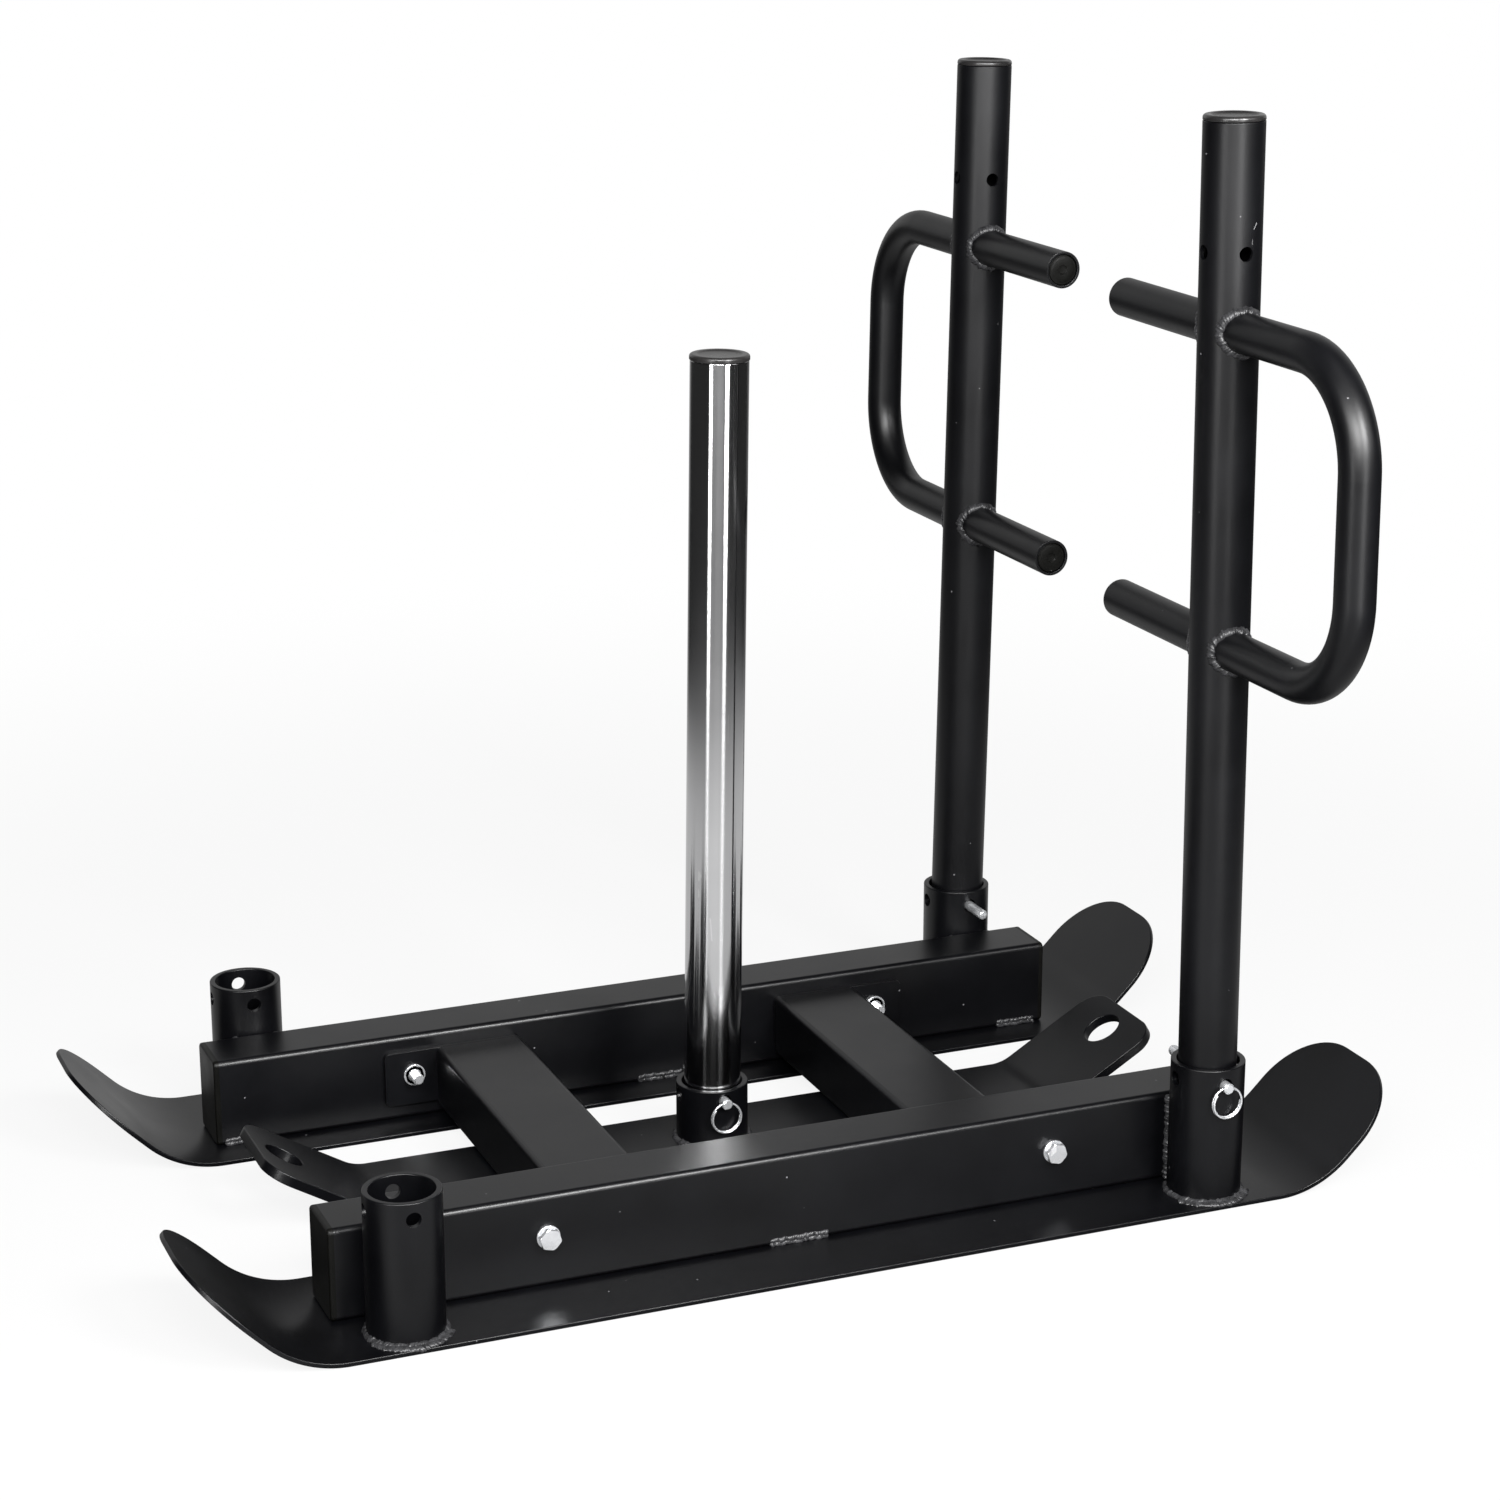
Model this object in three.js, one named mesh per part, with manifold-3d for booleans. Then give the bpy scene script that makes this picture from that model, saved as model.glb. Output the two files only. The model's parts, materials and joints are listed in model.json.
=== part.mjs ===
import * as THREE from 'three';
import { mergeVertices } from 'three/addons/utils/BufferGeometryUtils.js';
import Module from 'manifold-3d';

// A push sled in millimetres. +X runs from the empty front sockets to the pusher's end, +Z is up,
// the floor is at zero and the origin is under the middle of the sled.

const wasm = await Module();
wasm.setup();

// Fits
const looseGap = 0.3;
const weldGap = 0.2;
const overrun = 5;
const turn = 2 * Math.PI;
const quarter = Math.PI / 2;

// Uprights and weight post: one size of round tube
const tubeDiameter = 50;
const tubeWall = 3;
const uprightHeight = 917.6;
const postHeight = 709.4;
const upperHoleDrop = 102.6;
const bareCapRise = 5;
const capInsertDepth = 16;
const capEdgeRound = 1.6;
const postCapRise = 5.4;
const postCapOverhang = 0.6;
const postCapRecessDepth = 1;
const postCapRimWidth = 4.6;

// How far each loose tube leans in its socket, as a share of the play that it has there
const nearLeanShare = -0.42;
const farLeanShare = 0.6;
const postLeanShare = 0.23;
const pivotShare = 0.5;

// Sockets that the tubes stand in
const socketFromRailEnd = 47.5;
const socketSpanY = 500;
const socketWall = 5;
const socketClearance = 1.75;
const socketHeight = 121;
const postSocketHeight = 53.4;
const socketRimChamfer = 1;
const socketHoleDrop = 14;
const postHoleDrop = 9.6;

// Retaining pins and their rings
const pinDiameter = 9.5;
const pinLength = 100;
const pinStandOut = 6.8;
const pinChamfer = 1.2;
const pinPlayInSocket = 1.5;
const pinPlayInTube = 1.25;
const pinSag = 0.7;
const pinBallDiameter = 4;
const pinBallStandOut = 0.4;
const pinBallFromEnd = 7;
const pinCrossHole = 4;
const pinCrossHoleFromEnd = 3.6;
const ringDiameter = 29;
const ringWire = 2.3;
const ringLap = 220;
const ringLapTurn = 19;
const ringLapGap = 0.45;

// Skids
const skidThickness = 4;
const skidOuterMargin = 6.7;
const skidWidth = 161.4;
const skidBendPastRail = 2.1;
const skidBendRadius = 90;
const skidBendAngle = 44.8;
const skidTipRun = 80.4;
const skidCornerRadius = 64.5;

// Rails and their end plugs
const railLength = 810;
const railHeight = 80;
const railWidth = 57;
const railWall = 3;
const railCorner = 5;
const plugFlange = 5;
const plugEdgeRound = 2.2;
const plugInsertDepth = 18;

// Cross-members between the rails, with a flange plate welded on each end
const crossSpan = 332;
const crossWidth = 80;
const crossHeight = 57;
const flangeLength = 129;
const flangeHeight = 51;
const flangeThickness = 5;
const flangeCorner = 6;

// Bolts through the rails
const boltDiameter = 10;
const boltHoleClearance = 0.5;
const boltFromFlangeEnd = 27;
const boltBelowFlangeTop = 22.6;
const boltHeadHeight = 6.4;
const boltTail = 5.5;
const hexAcrossFlats = 16.5;
const nutHeight = 8;
const washerDiameter = 20;
const washerThickness = 2;

// Centre plate with its bent-up tow hooks
const plateThickness = 9;
const plateWidth = 114.4;
const plateBendInsideRail = 101.5;
const plateBendRadius = 38;
const plateBendAngle = 30.7;
const plateTipRun = 105.6;
const plateCornerRadius = 24;
const hookHoleDiameter = 35;
const hookHoleFromTip = 29;

// Handles: one bent tube through each upright
const handleDiameter = 33;
const handleWall = 2.5;
const handleUpperDrop = 165.1;
const handlePitch = 262.1;
const handleReachOut = 202;
const handleReachIn = 172.5;
const handleBendRadius = 82.5;
const legPlugDepth = 14;
const legPlugInset = 0.6;
const legPlugChamfer = 0.8;

// Facets
const tubeSides = 20;
const holeSides = 12;
const smallSides = 8;
const handleSides = 12;
const handleBoreSides = 10;
const handleSteps = 30;
const ringSides = 5;
const ringSteps = 44;
const bendSteps = 7;
const cornerSteps = 6;

// What follows from them
const tubeRadius = tubeDiameter / 2;
const socketBore = tubeDiameter + 2 * socketClearance;
const socketDiameter = socketBore + 2 * socketWall;
const socketX = railLength / 2 - socketFromRailEnd;
const socketY = socketSpanY / 2;
const socketTop = skidThickness + socketHeight;
const pinHoleHeight = socketTop - socketHoleDrop;
const railOuterY = socketY - socketDiameter / 2 - weldGap;
const railInnerY = railOuterY - railWidth;
const railY = (railOuterY + railInnerY) / 2;
const skidOuterY = socketY + socketDiameter / 2 + skidOuterMargin;
const skidY = skidOuterY - skidWidth / 2;
const skidBendStart = railLength / 2 + plugFlange + skidBendPastRail;
const plateBottom = skidThickness;
const plateTop = plateBottom + plateThickness;
const plateBendStart = railLength / 2 - plateBendInsideRail;
const postSocketTop = plateTop + postSocketHeight;
const postHoleHeight = postSocketTop - postHoleDrop;
const crossX = crossSpan / 2;
const crossTop = plateTop + crossHeight;
const flangeFaceY = railInnerY - flangeThickness;
const flangeX = crossX - crossWidth / 2 + flangeLength / 2;
const flangeZ = crossTop - flangeHeight / 2;
const boltX = crossX - crossWidth / 2 + flangeLength - boltFromFlangeEnd;
const boltZ = crossTop - boltBelowFlangeTop;
const hexCircle = hexAcrossFlats / Math.cos(Math.PI / 6);
const handleLowerHeight = uprightHeight - handleUpperDrop - handlePitch;
const socketHole = pinDiameter + 2 * pinPlayInSocket;
const tubeHole = pinDiameter + 2 * pinPlayInTube;

// Finishes
const finish = (color, roughness, metalness) => ({ color, roughness, metalness });
const powderBlack = finish(0x1d1e21, 0.5, 0.2);
const plasticBlack = finish(0x141414, 0.6, 0);
const chrome = finish(0xd8dadc, 0.06, 1);
const zinc = finish(0xc9ccd0, 0.3, 0.9);

const sled = new THREE.Group();

function addPart(name, geometry, look, parent = sled) {
  const part = new THREE.Mesh(geometry, new THREE.MeshStandardMaterial(look));
  part.name = name;
  parent.add(part);
  return part;
}

// A closed geometry as a solid that can be joined and cut
function toSolid(geometry) {
  const bare = geometry.clone();
  bare.deleteAttribute('normal');
  bare.deleteAttribute('uv');
  const merged = mergeVertices(bare);
  const vertProperties = new Float32Array(merged.attributes.position.array);
  const triVerts = new Uint32Array(merged.index.array);
  return new wasm.Manifold(new wasm.Mesh({ numProp: 3, vertProperties, triVerts }));
}

function toGeometry(solid) {
  const mesh = solid.getMesh();
  const geometry = new THREE.BufferGeometry();
  geometry.setAttribute('position', new THREE.BufferAttribute(mesh.vertProperties, 3));
  geometry.setIndex(new THREE.BufferAttribute(mesh.triVerts, 1));
  geometry.computeVertexNormals();
  return geometry;
}

// A round bar centred at a point, along one axis
function bar(axis, diameter, length, sides, x = 0, y = 0, z = 0) {
  const geometry = new THREE.CylinderGeometry(diameter / 2, diameter / 2, length, sides);
  if (axis === 'x') {
    geometry.rotateZ(-quarter);
  }
  if (axis === 'z') {
    geometry.rotateX(quarter);
  }
  return toSolid(geometry.translate(x, y, z));
}

// A profile of [radius, height] corners turned about the Z axis
function turned(profile, sides) {
  const points = profile.map(([radius, height]) => new THREE.Vector2(radius, height));
  return new THREE.LatheGeometry(points, sides).rotateX(quarter);
}

// A shape drawn in X and Z, given a width along Y and centred on it
function acrossY(shape, width, curveSegments = cornerSteps) {
  const geometry = new THREE.ExtrudeGeometry(shape, { depth: width, bevelEnabled: false, curveSegments });
  return geometry.rotateX(quarter).translate(0, width / 2, 0);
}

// A shape drawn in Y and Z, given a length along X and centred on it
function alongX(shape, length, extra = {}) {
  const settings = { depth: length, bevelEnabled: false, curveSegments: cornerSteps / 2, ...extra };
  const geometry = new THREE.ExtrudeGeometry(shape, settings);
  return geometry.translate(0, 0, -length / 2).rotateX(quarter).rotateZ(quarter);
}

function roundedRectangle(width, height, radius, PathType = THREE.Shape) {
  const x = width / 2;
  const y = height / 2;
  const path = new PathType();
  path.moveTo(radius - x, -y);
  path.lineTo(x - radius, -y);
  path.absarc(x - radius, radius - y, radius, -quarter, 0, false);
  path.lineTo(x, y - radius);
  path.absarc(x - radius, y - radius, radius, 0, quarter, false);
  path.lineTo(radius - x, y);
  path.absarc(radius - x, y - radius, radius, quarter, 2 * quarter, false);
  path.lineTo(-x, radius - y);
  path.absarc(radius - x, radius - y, radius, 2 * quarter, 3 * quarter, false);
  return path;
}

// The side of a flat plate whose two ends bend up, drawn in X and Z
function bentSide(bottom, thickness, start, radius, angle, run) {
  const centre = bottom + thickness + radius;
  const outer = radius + thickness;
  const endX = (r) => start + r * Math.sin(angle) + run * Math.cos(angle);
  const endZ = (r) => centre - r * Math.cos(angle) + run * Math.sin(angle);
  const side = new THREE.Shape();
  side.moveTo(-start, bottom);
  side.lineTo(start, bottom);
  side.absarc(start, centre, outer, -quarter, angle - quarter, false);
  side.lineTo(endX(outer), endZ(outer));
  side.lineTo(endX(radius), endZ(radius));
  side.absarc(start, centre, radius, angle - quarter, -quarter, true);
  side.lineTo(-start, bottom + thickness);
  side.absarc(-start, centre, radius, -quarter, -quarter - angle, true);
  side.lineTo(-endX(radius), endZ(radius));
  side.lineTo(-endX(outer), endZ(outer));
  side.absarc(-start, centre, outer, -quarter - angle, -quarter, false);
  return { side, length: endX(outer), height: endZ(radius) };
}

// A bent plate whose end corners are rounded in the plane of the bent-up part
function bentPlate({ bottom, thickness, width, start, radius, angleDegrees, run, corner }) {
  const angle = THREE.MathUtils.degToRad(angleDegrees);
  const { side, length, height } = bentSide(bottom, thickness, start, radius, angle, run);
  const reach = corner * Math.cos(angle);
  const x = length - reach;
  const y = width / 2 - corner;
  const plan = new THREE.Shape();
  plan.moveTo(-x, -width / 2);
  plan.absellipse(x, -y, reach, corner, -quarter, 0, false);
  plan.absellipse(x, y, reach, corner, 0, quarter, false);
  plan.absellipse(-x, y, reach, corner, quarter, 2 * quarter, false);
  plan.absellipse(-x, -y, reach, corner, 2 * quarter, 3 * quarter, false);
  const depth = height + 2 * overrun;
  const block = new THREE.ExtrudeGeometry(plan, { depth, bevelEnabled: false, curveSegments: cornerSteps });
  const bent = toSolid(acrossY(side, width, bendSteps));
  return bent.intersect(toSolid(block.translate(0, 0, -overrun)));
}

// Skids
for (const [name, side] of [['skid_near', -1], ['skid_far', 1]]) {
  const plate = bentPlate({
    bottom: 0,
    thickness: skidThickness,
    width: skidWidth,
    start: skidBendStart,
    radius: skidBendRadius,
    angleDegrees: skidBendAngle,
    run: skidTipRun,
    corner: skidCornerRadius,
  });
  addPart(name, toGeometry(plate), powderBlack).position.y = side * skidY;
}

// Rails, with a clearance hole through both walls for each bolt
const boltHole = boltDiameter + 2 * boltHoleClearance;
const railMiddle = skidThickness + railHeight / 2;
const railBoreWidth = railWidth - 2 * railWall;
const railBoreHeight = railHeight - 2 * railWall;
for (const [name, side] of [['rail_near', -1], ['rail_far', 1]]) {
  const section = roundedRectangle(railWidth, railHeight, railCorner);
  section.holes.push(roundedRectangle(railBoreWidth, railBoreHeight, railCorner - railWall, THREE.Path));
  let rail = toSolid(alongX(section, railLength));
  for (const end of [-1, 1]) {
    const hole = bar('y', boltHole, railWidth + 2 * overrun, holeSides, end * boltX, 0, boltZ - railMiddle);
    rail = rail.subtract(hole);
  }
  addPart(name, toGeometry(rail), powderBlack).position.set(0, side * railY, railMiddle);
}

// Rail end plugs: a flange with a rounded outer edge, and an insert inside the tube
function railPlug() {
  const round = plugEdgeRound;
  const face = roundedRectangle(railWidth - 2 * round, railHeight - 2 * round, railCorner - round);
  const bevel = { bevelEnabled: true, bevelThickness: round, bevelSize: round, bevelSegments: 2 };
  const cushion = toSolid(alongX(face, plugFlange, bevel)).translate([plugFlange / 2 - round, 0, 0]);
  const block = toSolid(new THREE.BoxGeometry(plugFlange, railWidth + overrun, railHeight + overrun));
  const flange = cushion.intersect(block.translate([plugFlange / 2, 0, 0]));
  const fitted = 2 * looseGap;
  const stub = roundedRectangle(railBoreWidth - fitted, railBoreHeight - fitted, railCorner - railWall);
  const insert = toSolid(alongX(stub, plugInsertDepth + plugFlange / 2));
  return flange.add(insert.translate([plugFlange / 4 - plugInsertDepth / 2, 0, 0]));
}

for (const [sideName, side] of [['near', -1], ['far', 1]]) {
  for (const [endName, end] of [['front', -1], ['rear', 1]]) {
    const plug = addPart(`rail_plug_${endName}_${sideName}`, toGeometry(railPlug()), plasticBlack);
    plug.position.set(end * railLength / 2, side * railY, railMiddle);
    plug.rotation.z = end > 0 ? 0 : turn / 2;
  }
}

// Sockets: a tube with a chamfered rim and cross holes for the pin
function socketGeometry(height, holeDrop) {
  const outer = socketDiameter / 2;
  const inner = socketBore / 2;
  const chamfer = socketRimChamfer;
  const wall = [
    [inner, 0], [outer, 0], [outer, height - chamfer], [outer - chamfer, height],
    [inner + chamfer, height], [inner, height - chamfer], [inner, 0],
  ];
  let socket = toSolid(turned(wall, tubeSides));
  for (const axis of ['x', 'y']) {
    const length = socketDiameter + 2 * overrun;
    socket = socket.subtract(bar(axis, socketHole, length, holeSides, 0, 0, height - holeDrop));
  }
  return toGeometry(socket);
}

for (const [sideName, side] of [['near', -1], ['far', 1]]) {
  for (const [endName, end] of [['front', -1], ['rear', 1]]) {
    const geometry = socketGeometry(socketHeight, socketHoleDrop);
    const socket = addPart(`socket_${endName}_${sideName}`, geometry, powderBlack);
    socket.position.set(end * socketX, side * socketY, skidThickness);
  }
}
addPart('post_socket', socketGeometry(postSocketHeight, postHoleDrop), powderBlack).position.z = plateTop;

// Cross-members, flange plates and what bolts them to the rails
function hexPrism(height) {
  return new THREE.CylinderGeometry(hexCircle / 2, hexCircle / 2, height, 6);
}

function ringPlate(outerDiameter, bore, thickness) {
  const profile = [
    [bore / 2, 0], [outerDiameter / 2, 0], [outerDiameter / 2, thickness], [bore / 2, thickness], [bore / 2, 0],
  ];
  return turned(profile, holeSides);
}

function flangePlate() {
  const shape = roundedRectangle(flangeLength, flangeHeight, flangeCorner);
  const plate = toSolid(acrossY(shape, flangeThickness, cornerSteps / 2));
  const length = flangeThickness + 2 * overrun;
  return toGeometry(plate.subtract(bar('y', boltHole, length, holeSides, boltX - flangeX, 0, boltZ - flangeZ)));
}

// Drawn along Y with the head outward, from the outer washer's face to past the nut
function flangeBolt() {
  const shank = railWidth + flangeThickness + 2 * washerThickness + nutHeight + boltTail;
  const head = toSolid(hexPrism(boltHeadHeight).translate(0, boltHeadHeight / 2, 0));
  const rod = bar('y', boltDiameter, shank + boltHeadHeight / 2, holeSides, 0, boltHeadHeight / 4 - shank / 2, 0);
  return toGeometry(head.add(rod));
}

function nutGeometry() {
  const bore = bar('y', boltDiameter + 2 * looseGap, nutHeight + 2 * overrun, holeSides);
  return toGeometry(toSolid(hexPrism(nutHeight)).subtract(bore));
}

for (const [endName, end] of [['front', -1], ['rear', 1]]) {
  const section = roundedRectangle(crossWidth, crossHeight, railCorner);
  const boreWidth = crossWidth - 2 * railWall;
  const boreHeight = crossHeight - 2 * railWall;
  section.holes.push(roundedRectangle(boreWidth, boreHeight, railCorner - railWall, THREE.Path));
  const member = addPart(`cross_member_${endName}`, acrossY(section, 2 * flangeFaceY, cornerSteps / 2), powderBlack);
  member.position.set(end * crossX, 0, plateTop + crossHeight / 2);
}

for (const [endName, end] of [['front', -1], ['rear', 1]]) {
  for (const [sideName, side] of [['near', -1], ['far', 1]]) {
    const place = `${endName}_${sideName}`;
    const corner = new THREE.Group();
    corner.rotation.z = side > 0 ? 0 : turn / 2;
    const along = end * side;
    sled.add(corner);
    const flange = addPart(`flange_plate_${place}`, flangePlate(), powderBlack, corner);
    flange.rotation.z = along > 0 ? 0 : turn / 2;
    flange.position.set(along * flangeX, railInnerY - flangeThickness / 2, flangeZ);
    const washerY = railOuterY + washerThickness;
    const outerWasher = addPart(`outer_washer_${place}`, ringPlate(washerDiameter, boltHole, washerThickness), zinc, corner);
    outerWasher.rotation.x = -quarter;
    outerWasher.position.set(along * boltX, railOuterY, boltZ);
    addPart(`flange_bolt_${place}`, flangeBolt(), zinc, corner).position.set(along * boltX, washerY, boltZ);
    const innerWasher = addPart(`inner_washer_${place}`, ringPlate(washerDiameter, boltHole, washerThickness), zinc, corner);
    innerWasher.rotation.x = quarter;
    innerWasher.position.set(along * boltX, flangeFaceY, boltZ);
    const nutY = flangeFaceY - washerThickness - nutHeight / 2;
    addPart(`nut_${place}`, nutGeometry(), zinc, corner).position.set(along * boltX, nutY, boltZ);
  }
}

// Centre plate with a tow hook hole square to each bent-up end
function centrePlate() {
  const angle = THREE.MathUtils.degToRad(plateBendAngle);
  let plate = bentPlate({
    bottom: plateBottom,
    thickness: plateThickness,
    width: plateWidth,
    start: plateBendStart,
    radius: plateBendRadius,
    angleDegrees: plateBendAngle,
    run: plateTipRun,
    corner: plateCornerRadius,
  });
  const middle = plateBendRadius + plateThickness / 2;
  const along = plateTipRun - hookHoleFromTip;
  const x = plateBendStart + middle * Math.sin(angle) + along * Math.cos(angle);
  const z = plateTop + plateBendRadius - middle * Math.cos(angle) + along * Math.sin(angle);
  for (const end of [-1, 1]) {
    const cutter = new THREE.CylinderGeometry(
      hookHoleDiameter / 2, hookHoleDiameter / 2, plateThickness + 2 * overrun, tubeSides,
    );
    cutter.rotateX(quarter).rotateY(-end * angle).translate(end * x, 0, z);
    plate = plate.subtract(toSolid(cutter));
  }
  return toGeometry(plate);
}

addPart('centre_plate', centrePlate(), powderBlack);

// A loose tube leans in its socket: its group turns about a point part-way up the socket, and the
// lowest edge of the tilted tube stands just clear of what is under it
function looseTube(x, y, seat, engaged, share) {
  const lean = share * Math.atan(2 * socketClearance / engaged);
  const pivot = seat + pivotShare * engaged;
  const group = new THREE.Group();
  group.position.set(x, y, pivot);
  group.rotation.y = lean;
  sled.add(group);
  const foot = seat + looseGap + tubeRadius * Math.abs(Math.sin(lean)) - pivot;
  return { group, lean, pivot, foot };
}

// A round tube between two heights of its group, with holes through both walls
function roundTube(foot, top, holes) {
  const outer = tubeRadius;
  const inner = tubeRadius - tubeWall;
  const wall = [[inner, foot], [outer, foot], [outer, top], [inner, top], [inner, foot]];
  let solid = toSolid(turned(wall, tubeSides));
  for (const { axis, diameter, height, sides } of holes) {
    solid = solid.subtract(bar(axis, diameter, tubeDiameter + 2 * overrun, sides, 0, 0, height));
  }
  return toGeometry(solid);
}

// A plastic cap: a flange on the tube's end and an insert in its bore, with an optional recess on top
function capGeometry(rise, diameter, recessDepth, rimWidth) {
  const outer = diameter / 2;
  const insert = tubeRadius - tubeWall - looseGap;
  const profile = [
    [0, -capInsertDepth], [insert, -capInsertDepth], [insert, looseGap], [outer, looseGap],
    [outer, rise - capEdgeRound], [outer - capEdgeRound * (1 - Math.SQRT1_2), rise - capEdgeRound * (1 - Math.SQRT1_2)],
    [outer - capEdgeRound, rise],
  ];
  if (recessDepth > 0) {
    profile.push([outer - rimWidth, rise], [outer - rimWidth - recessDepth, rise - recessDepth]);
    profile.push([0, rise - recessDepth]);
  } else {
    profile.push([0, rise]);
  }
  return turned(profile, tubeSides);
}

// The handle's centre line in its group: in along the upper leg, round the grip, back along the lower leg
class HandleLine extends THREE.Curve {
  constructor(side, lower) {
    super();
    const r = handleBendRadius;
    const upper = lower + handlePitch;
    this.side = side;
    this.line = new THREE.Path();
    this.line.moveTo(-handleReachIn, upper);
    this.line.lineTo(handleReachOut - r, upper);
    this.line.absarc(handleReachOut - r, upper - r, r, quarter, 0, true);
    this.line.lineTo(handleReachOut, lower + r);
    this.line.absarc(handleReachOut - r, lower + r, r, 0, -quarter, true);
    this.line.lineTo(-handleReachIn, lower);
  }

  getPoint(t, target = new THREE.Vector3()) {
    const point = this.line.getPoint(t);
    return target.set(0, this.side * point.x, point.y);
  }
}

function polygonPath(radius, sides, PathType) {
  const path = new PathType();
  for (let i = 0; i <= sides; i += 1) {
    const angle = turn * i / sides;
    const draw = i === 0 ? 'moveTo' : 'lineTo';
    path[draw](radius * Math.cos(angle), radius * Math.sin(angle));
  }
  return path;
}

function handleGeometry(side, lower) {
  const section = polygonPath(handleDiameter / 2, handleSides, THREE.Shape);
  section.holes.push(polygonPath(handleDiameter / 2 - handleWall, handleBoreSides, THREE.Path));
  const settings = { steps: handleSteps, bevelEnabled: false, extrudePath: new HandleLine(side, lower) };
  return new THREE.ExtrudeGeometry(section, settings);
}

// A plug that closes a leg's bore, drawn from its outer face inwards along +Z
function legPlug() {
  const radius = (handleDiameter / 2 - handleWall) * Math.cos(Math.PI / handleBoreSides) - looseGap;
  const profile = [
    [0, 0], [radius - legPlugChamfer, 0], [radius, legPlugChamfer], [radius, legPlugDepth], [0, legPlugDepth],
  ];
  return turned(profile, tubeSides);
}

// Uprights with their caps and handles
const pinned = [];
for (const [sideName, side, share] of [['near', -1, nearLeanShare], ['far', 1, farLeanShare]]) {
  const { group, lean, pivot, foot } = looseTube(socketX, side * socketY, skidThickness, socketHeight, share);
  pinned.push({ place: sideName, x: socketX, side, offset: socketY, holeHeight: pinHoleHeight, lean, pivot });
  const top = uprightHeight - pivot;
  const lower = handleLowerHeight - pivot;
  const legHole = { axis: 'y', diameter: handleDiameter + 2 * looseGap, sides: tubeSides };
  const pinHole = { diameter: tubeHole, sides: holeSides };
  const holes = [
    { ...legHole, height: lower },
    { ...legHole, height: lower + handlePitch },
  ];
  for (const axis of ['x', 'y']) {
    holes.push({ ...pinHole, axis, height: pinHoleHeight - pivot }, { ...pinHole, axis, height: top - upperHoleDrop });
  }
  addPart(`upright_${sideName}`, roundTube(foot, top, holes), powderBlack, group);
  const cap = addPart(`upright_cap_${sideName}`, capGeometry(bareCapRise, tubeDiameter, 0, 0), plasticBlack, group);
  cap.position.z = top;
  addPart(`handle_${sideName}`, handleGeometry(side, lower), powderBlack, group);
  for (const [legName, height] of [['lower', lower], ['upper', lower + handlePitch]]) {
    const plug = addPart(`leg_plug_${legName}_${sideName}`, legPlug(), plasticBlack, group);
    plug.rotation.x = -side * quarter;
    plug.position.set(0, -side * (handleReachIn - legPlugInset), height);
  }
}

// Weight post with its cap
const post = looseTube(0, 0, plateTop, postSocketHeight, postLeanShare);
const postTop = postHeight - post.pivot;
const postPinHole = { axis: 'y', diameter: tubeHole, height: postHoleHeight - post.pivot, sides: holeSides };
addPart('weight_post', roundTube(post.foot, postTop, [postPinHole]), chrome, post.group);
const postCapSize = tubeDiameter + 2 * postCapOverhang;
const postCap = capGeometry(postCapRise, postCapSize, postCapRecessDepth, postCapRimWidth);
addPart('post_cap', postCap, plasticBlack, post.group).position.z = postTop;
pinned.push({ place: 'post', x: 0, side: -1, offset: 0, holeHeight: postHoleHeight, lean: post.lean, pivot: post.pivot });

// Retaining pins lie along Y, with their origin in the cross hole and the plain end towards +Y. Each one
// lies midway between the middles of its socket's hole and the leaning tube's hole
function pinGeometry() {
  const radius = pinDiameter / 2;
  const start = -pinCrossHoleFromEnd;
  const finishEnd = pinLength - pinCrossHoleFromEnd;
  const profile = [
    [0, start], [radius - pinChamfer, start], [radius, start + pinChamfer],
    [radius, finishEnd - pinChamfer], [radius - pinChamfer, finishEnd], [0, finishEnd],
  ];
  let pin = toSolid(turned(profile, holeSides).rotateX(-quarter));
  const ballX = radius + pinBallStandOut - pinBallDiameter / 2;
  for (const end of [-1, 1]) {
    const ball = new THREE.SphereGeometry(pinBallDiameter / 2, smallSides, smallSides / 2);
    pin = pin.add(toSolid(ball.translate(end * ballX, finishEnd - pinBallFromEnd, 0)));
  }
  return toGeometry(pin.subtract(bar('x', pinCrossHole, pinDiameter + 2 * overrun, smallSides)));
}

// A split ring: one turn and a lap of wire, climbing along Y by the wire and the lap's gap in each turn.
// The part of it that goes through the pin is single, and its lap is turned a little to one side
class RingLine extends THREE.Curve {
  getPoint(t, target = new THREE.Vector3()) {
    const radius = (ringDiameter - ringWire) / 2;
    const sweep = turn + THREE.MathUtils.degToRad(ringLap);
    const angle = quarter - THREE.MathUtils.degToRad(ringLapTurn) + (t - 1 / 2) * sweep;
    const climb = (ringWire + ringLapGap) * (t - 1 / 2) * sweep / turn;
    return target.set(radius * Math.cos(angle), climb, radius * Math.sin(angle));
  }
}

function ringGeometry() {
  const section = polygonPath(ringWire / 2, ringSides, THREE.Shape);
  return new THREE.ExtrudeGeometry(section, { steps: ringSteps, bevelEnabled: false, extrudePath: new RingLine() });
}

const ringCentreRadius = (ringDiameter - ringWire) / 2;
const sagitta = ringCentreRadius - Math.sqrt(ringCentreRadius ** 2 - (pinDiameter / 2) ** 2);
const ringDrop = ringCentreRadius - sagitta / 2;
for (const { place, x, side, offset, holeHeight, lean, pivot } of pinned) {
  const shift = (holeHeight - pivot) * Math.tan(lean) / 2;
  const y = side * (offset + socketDiameter / 2 + pinStandOut - pinCrossHoleFromEnd);
  const z = holeHeight - pinSag;
  const pin = addPart(`pin_${place}`, pinGeometry(), zinc);
  pin.position.set(x + shift, y, z);
  pin.rotation.z = side > 0 ? turn / 2 : 0;
  const ring = addPart(`pull_ring_${place}`, ringGeometry(), zinc);
  ring.position.set(x + shift, y, z - ringDrop);
}

export default sled;
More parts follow.
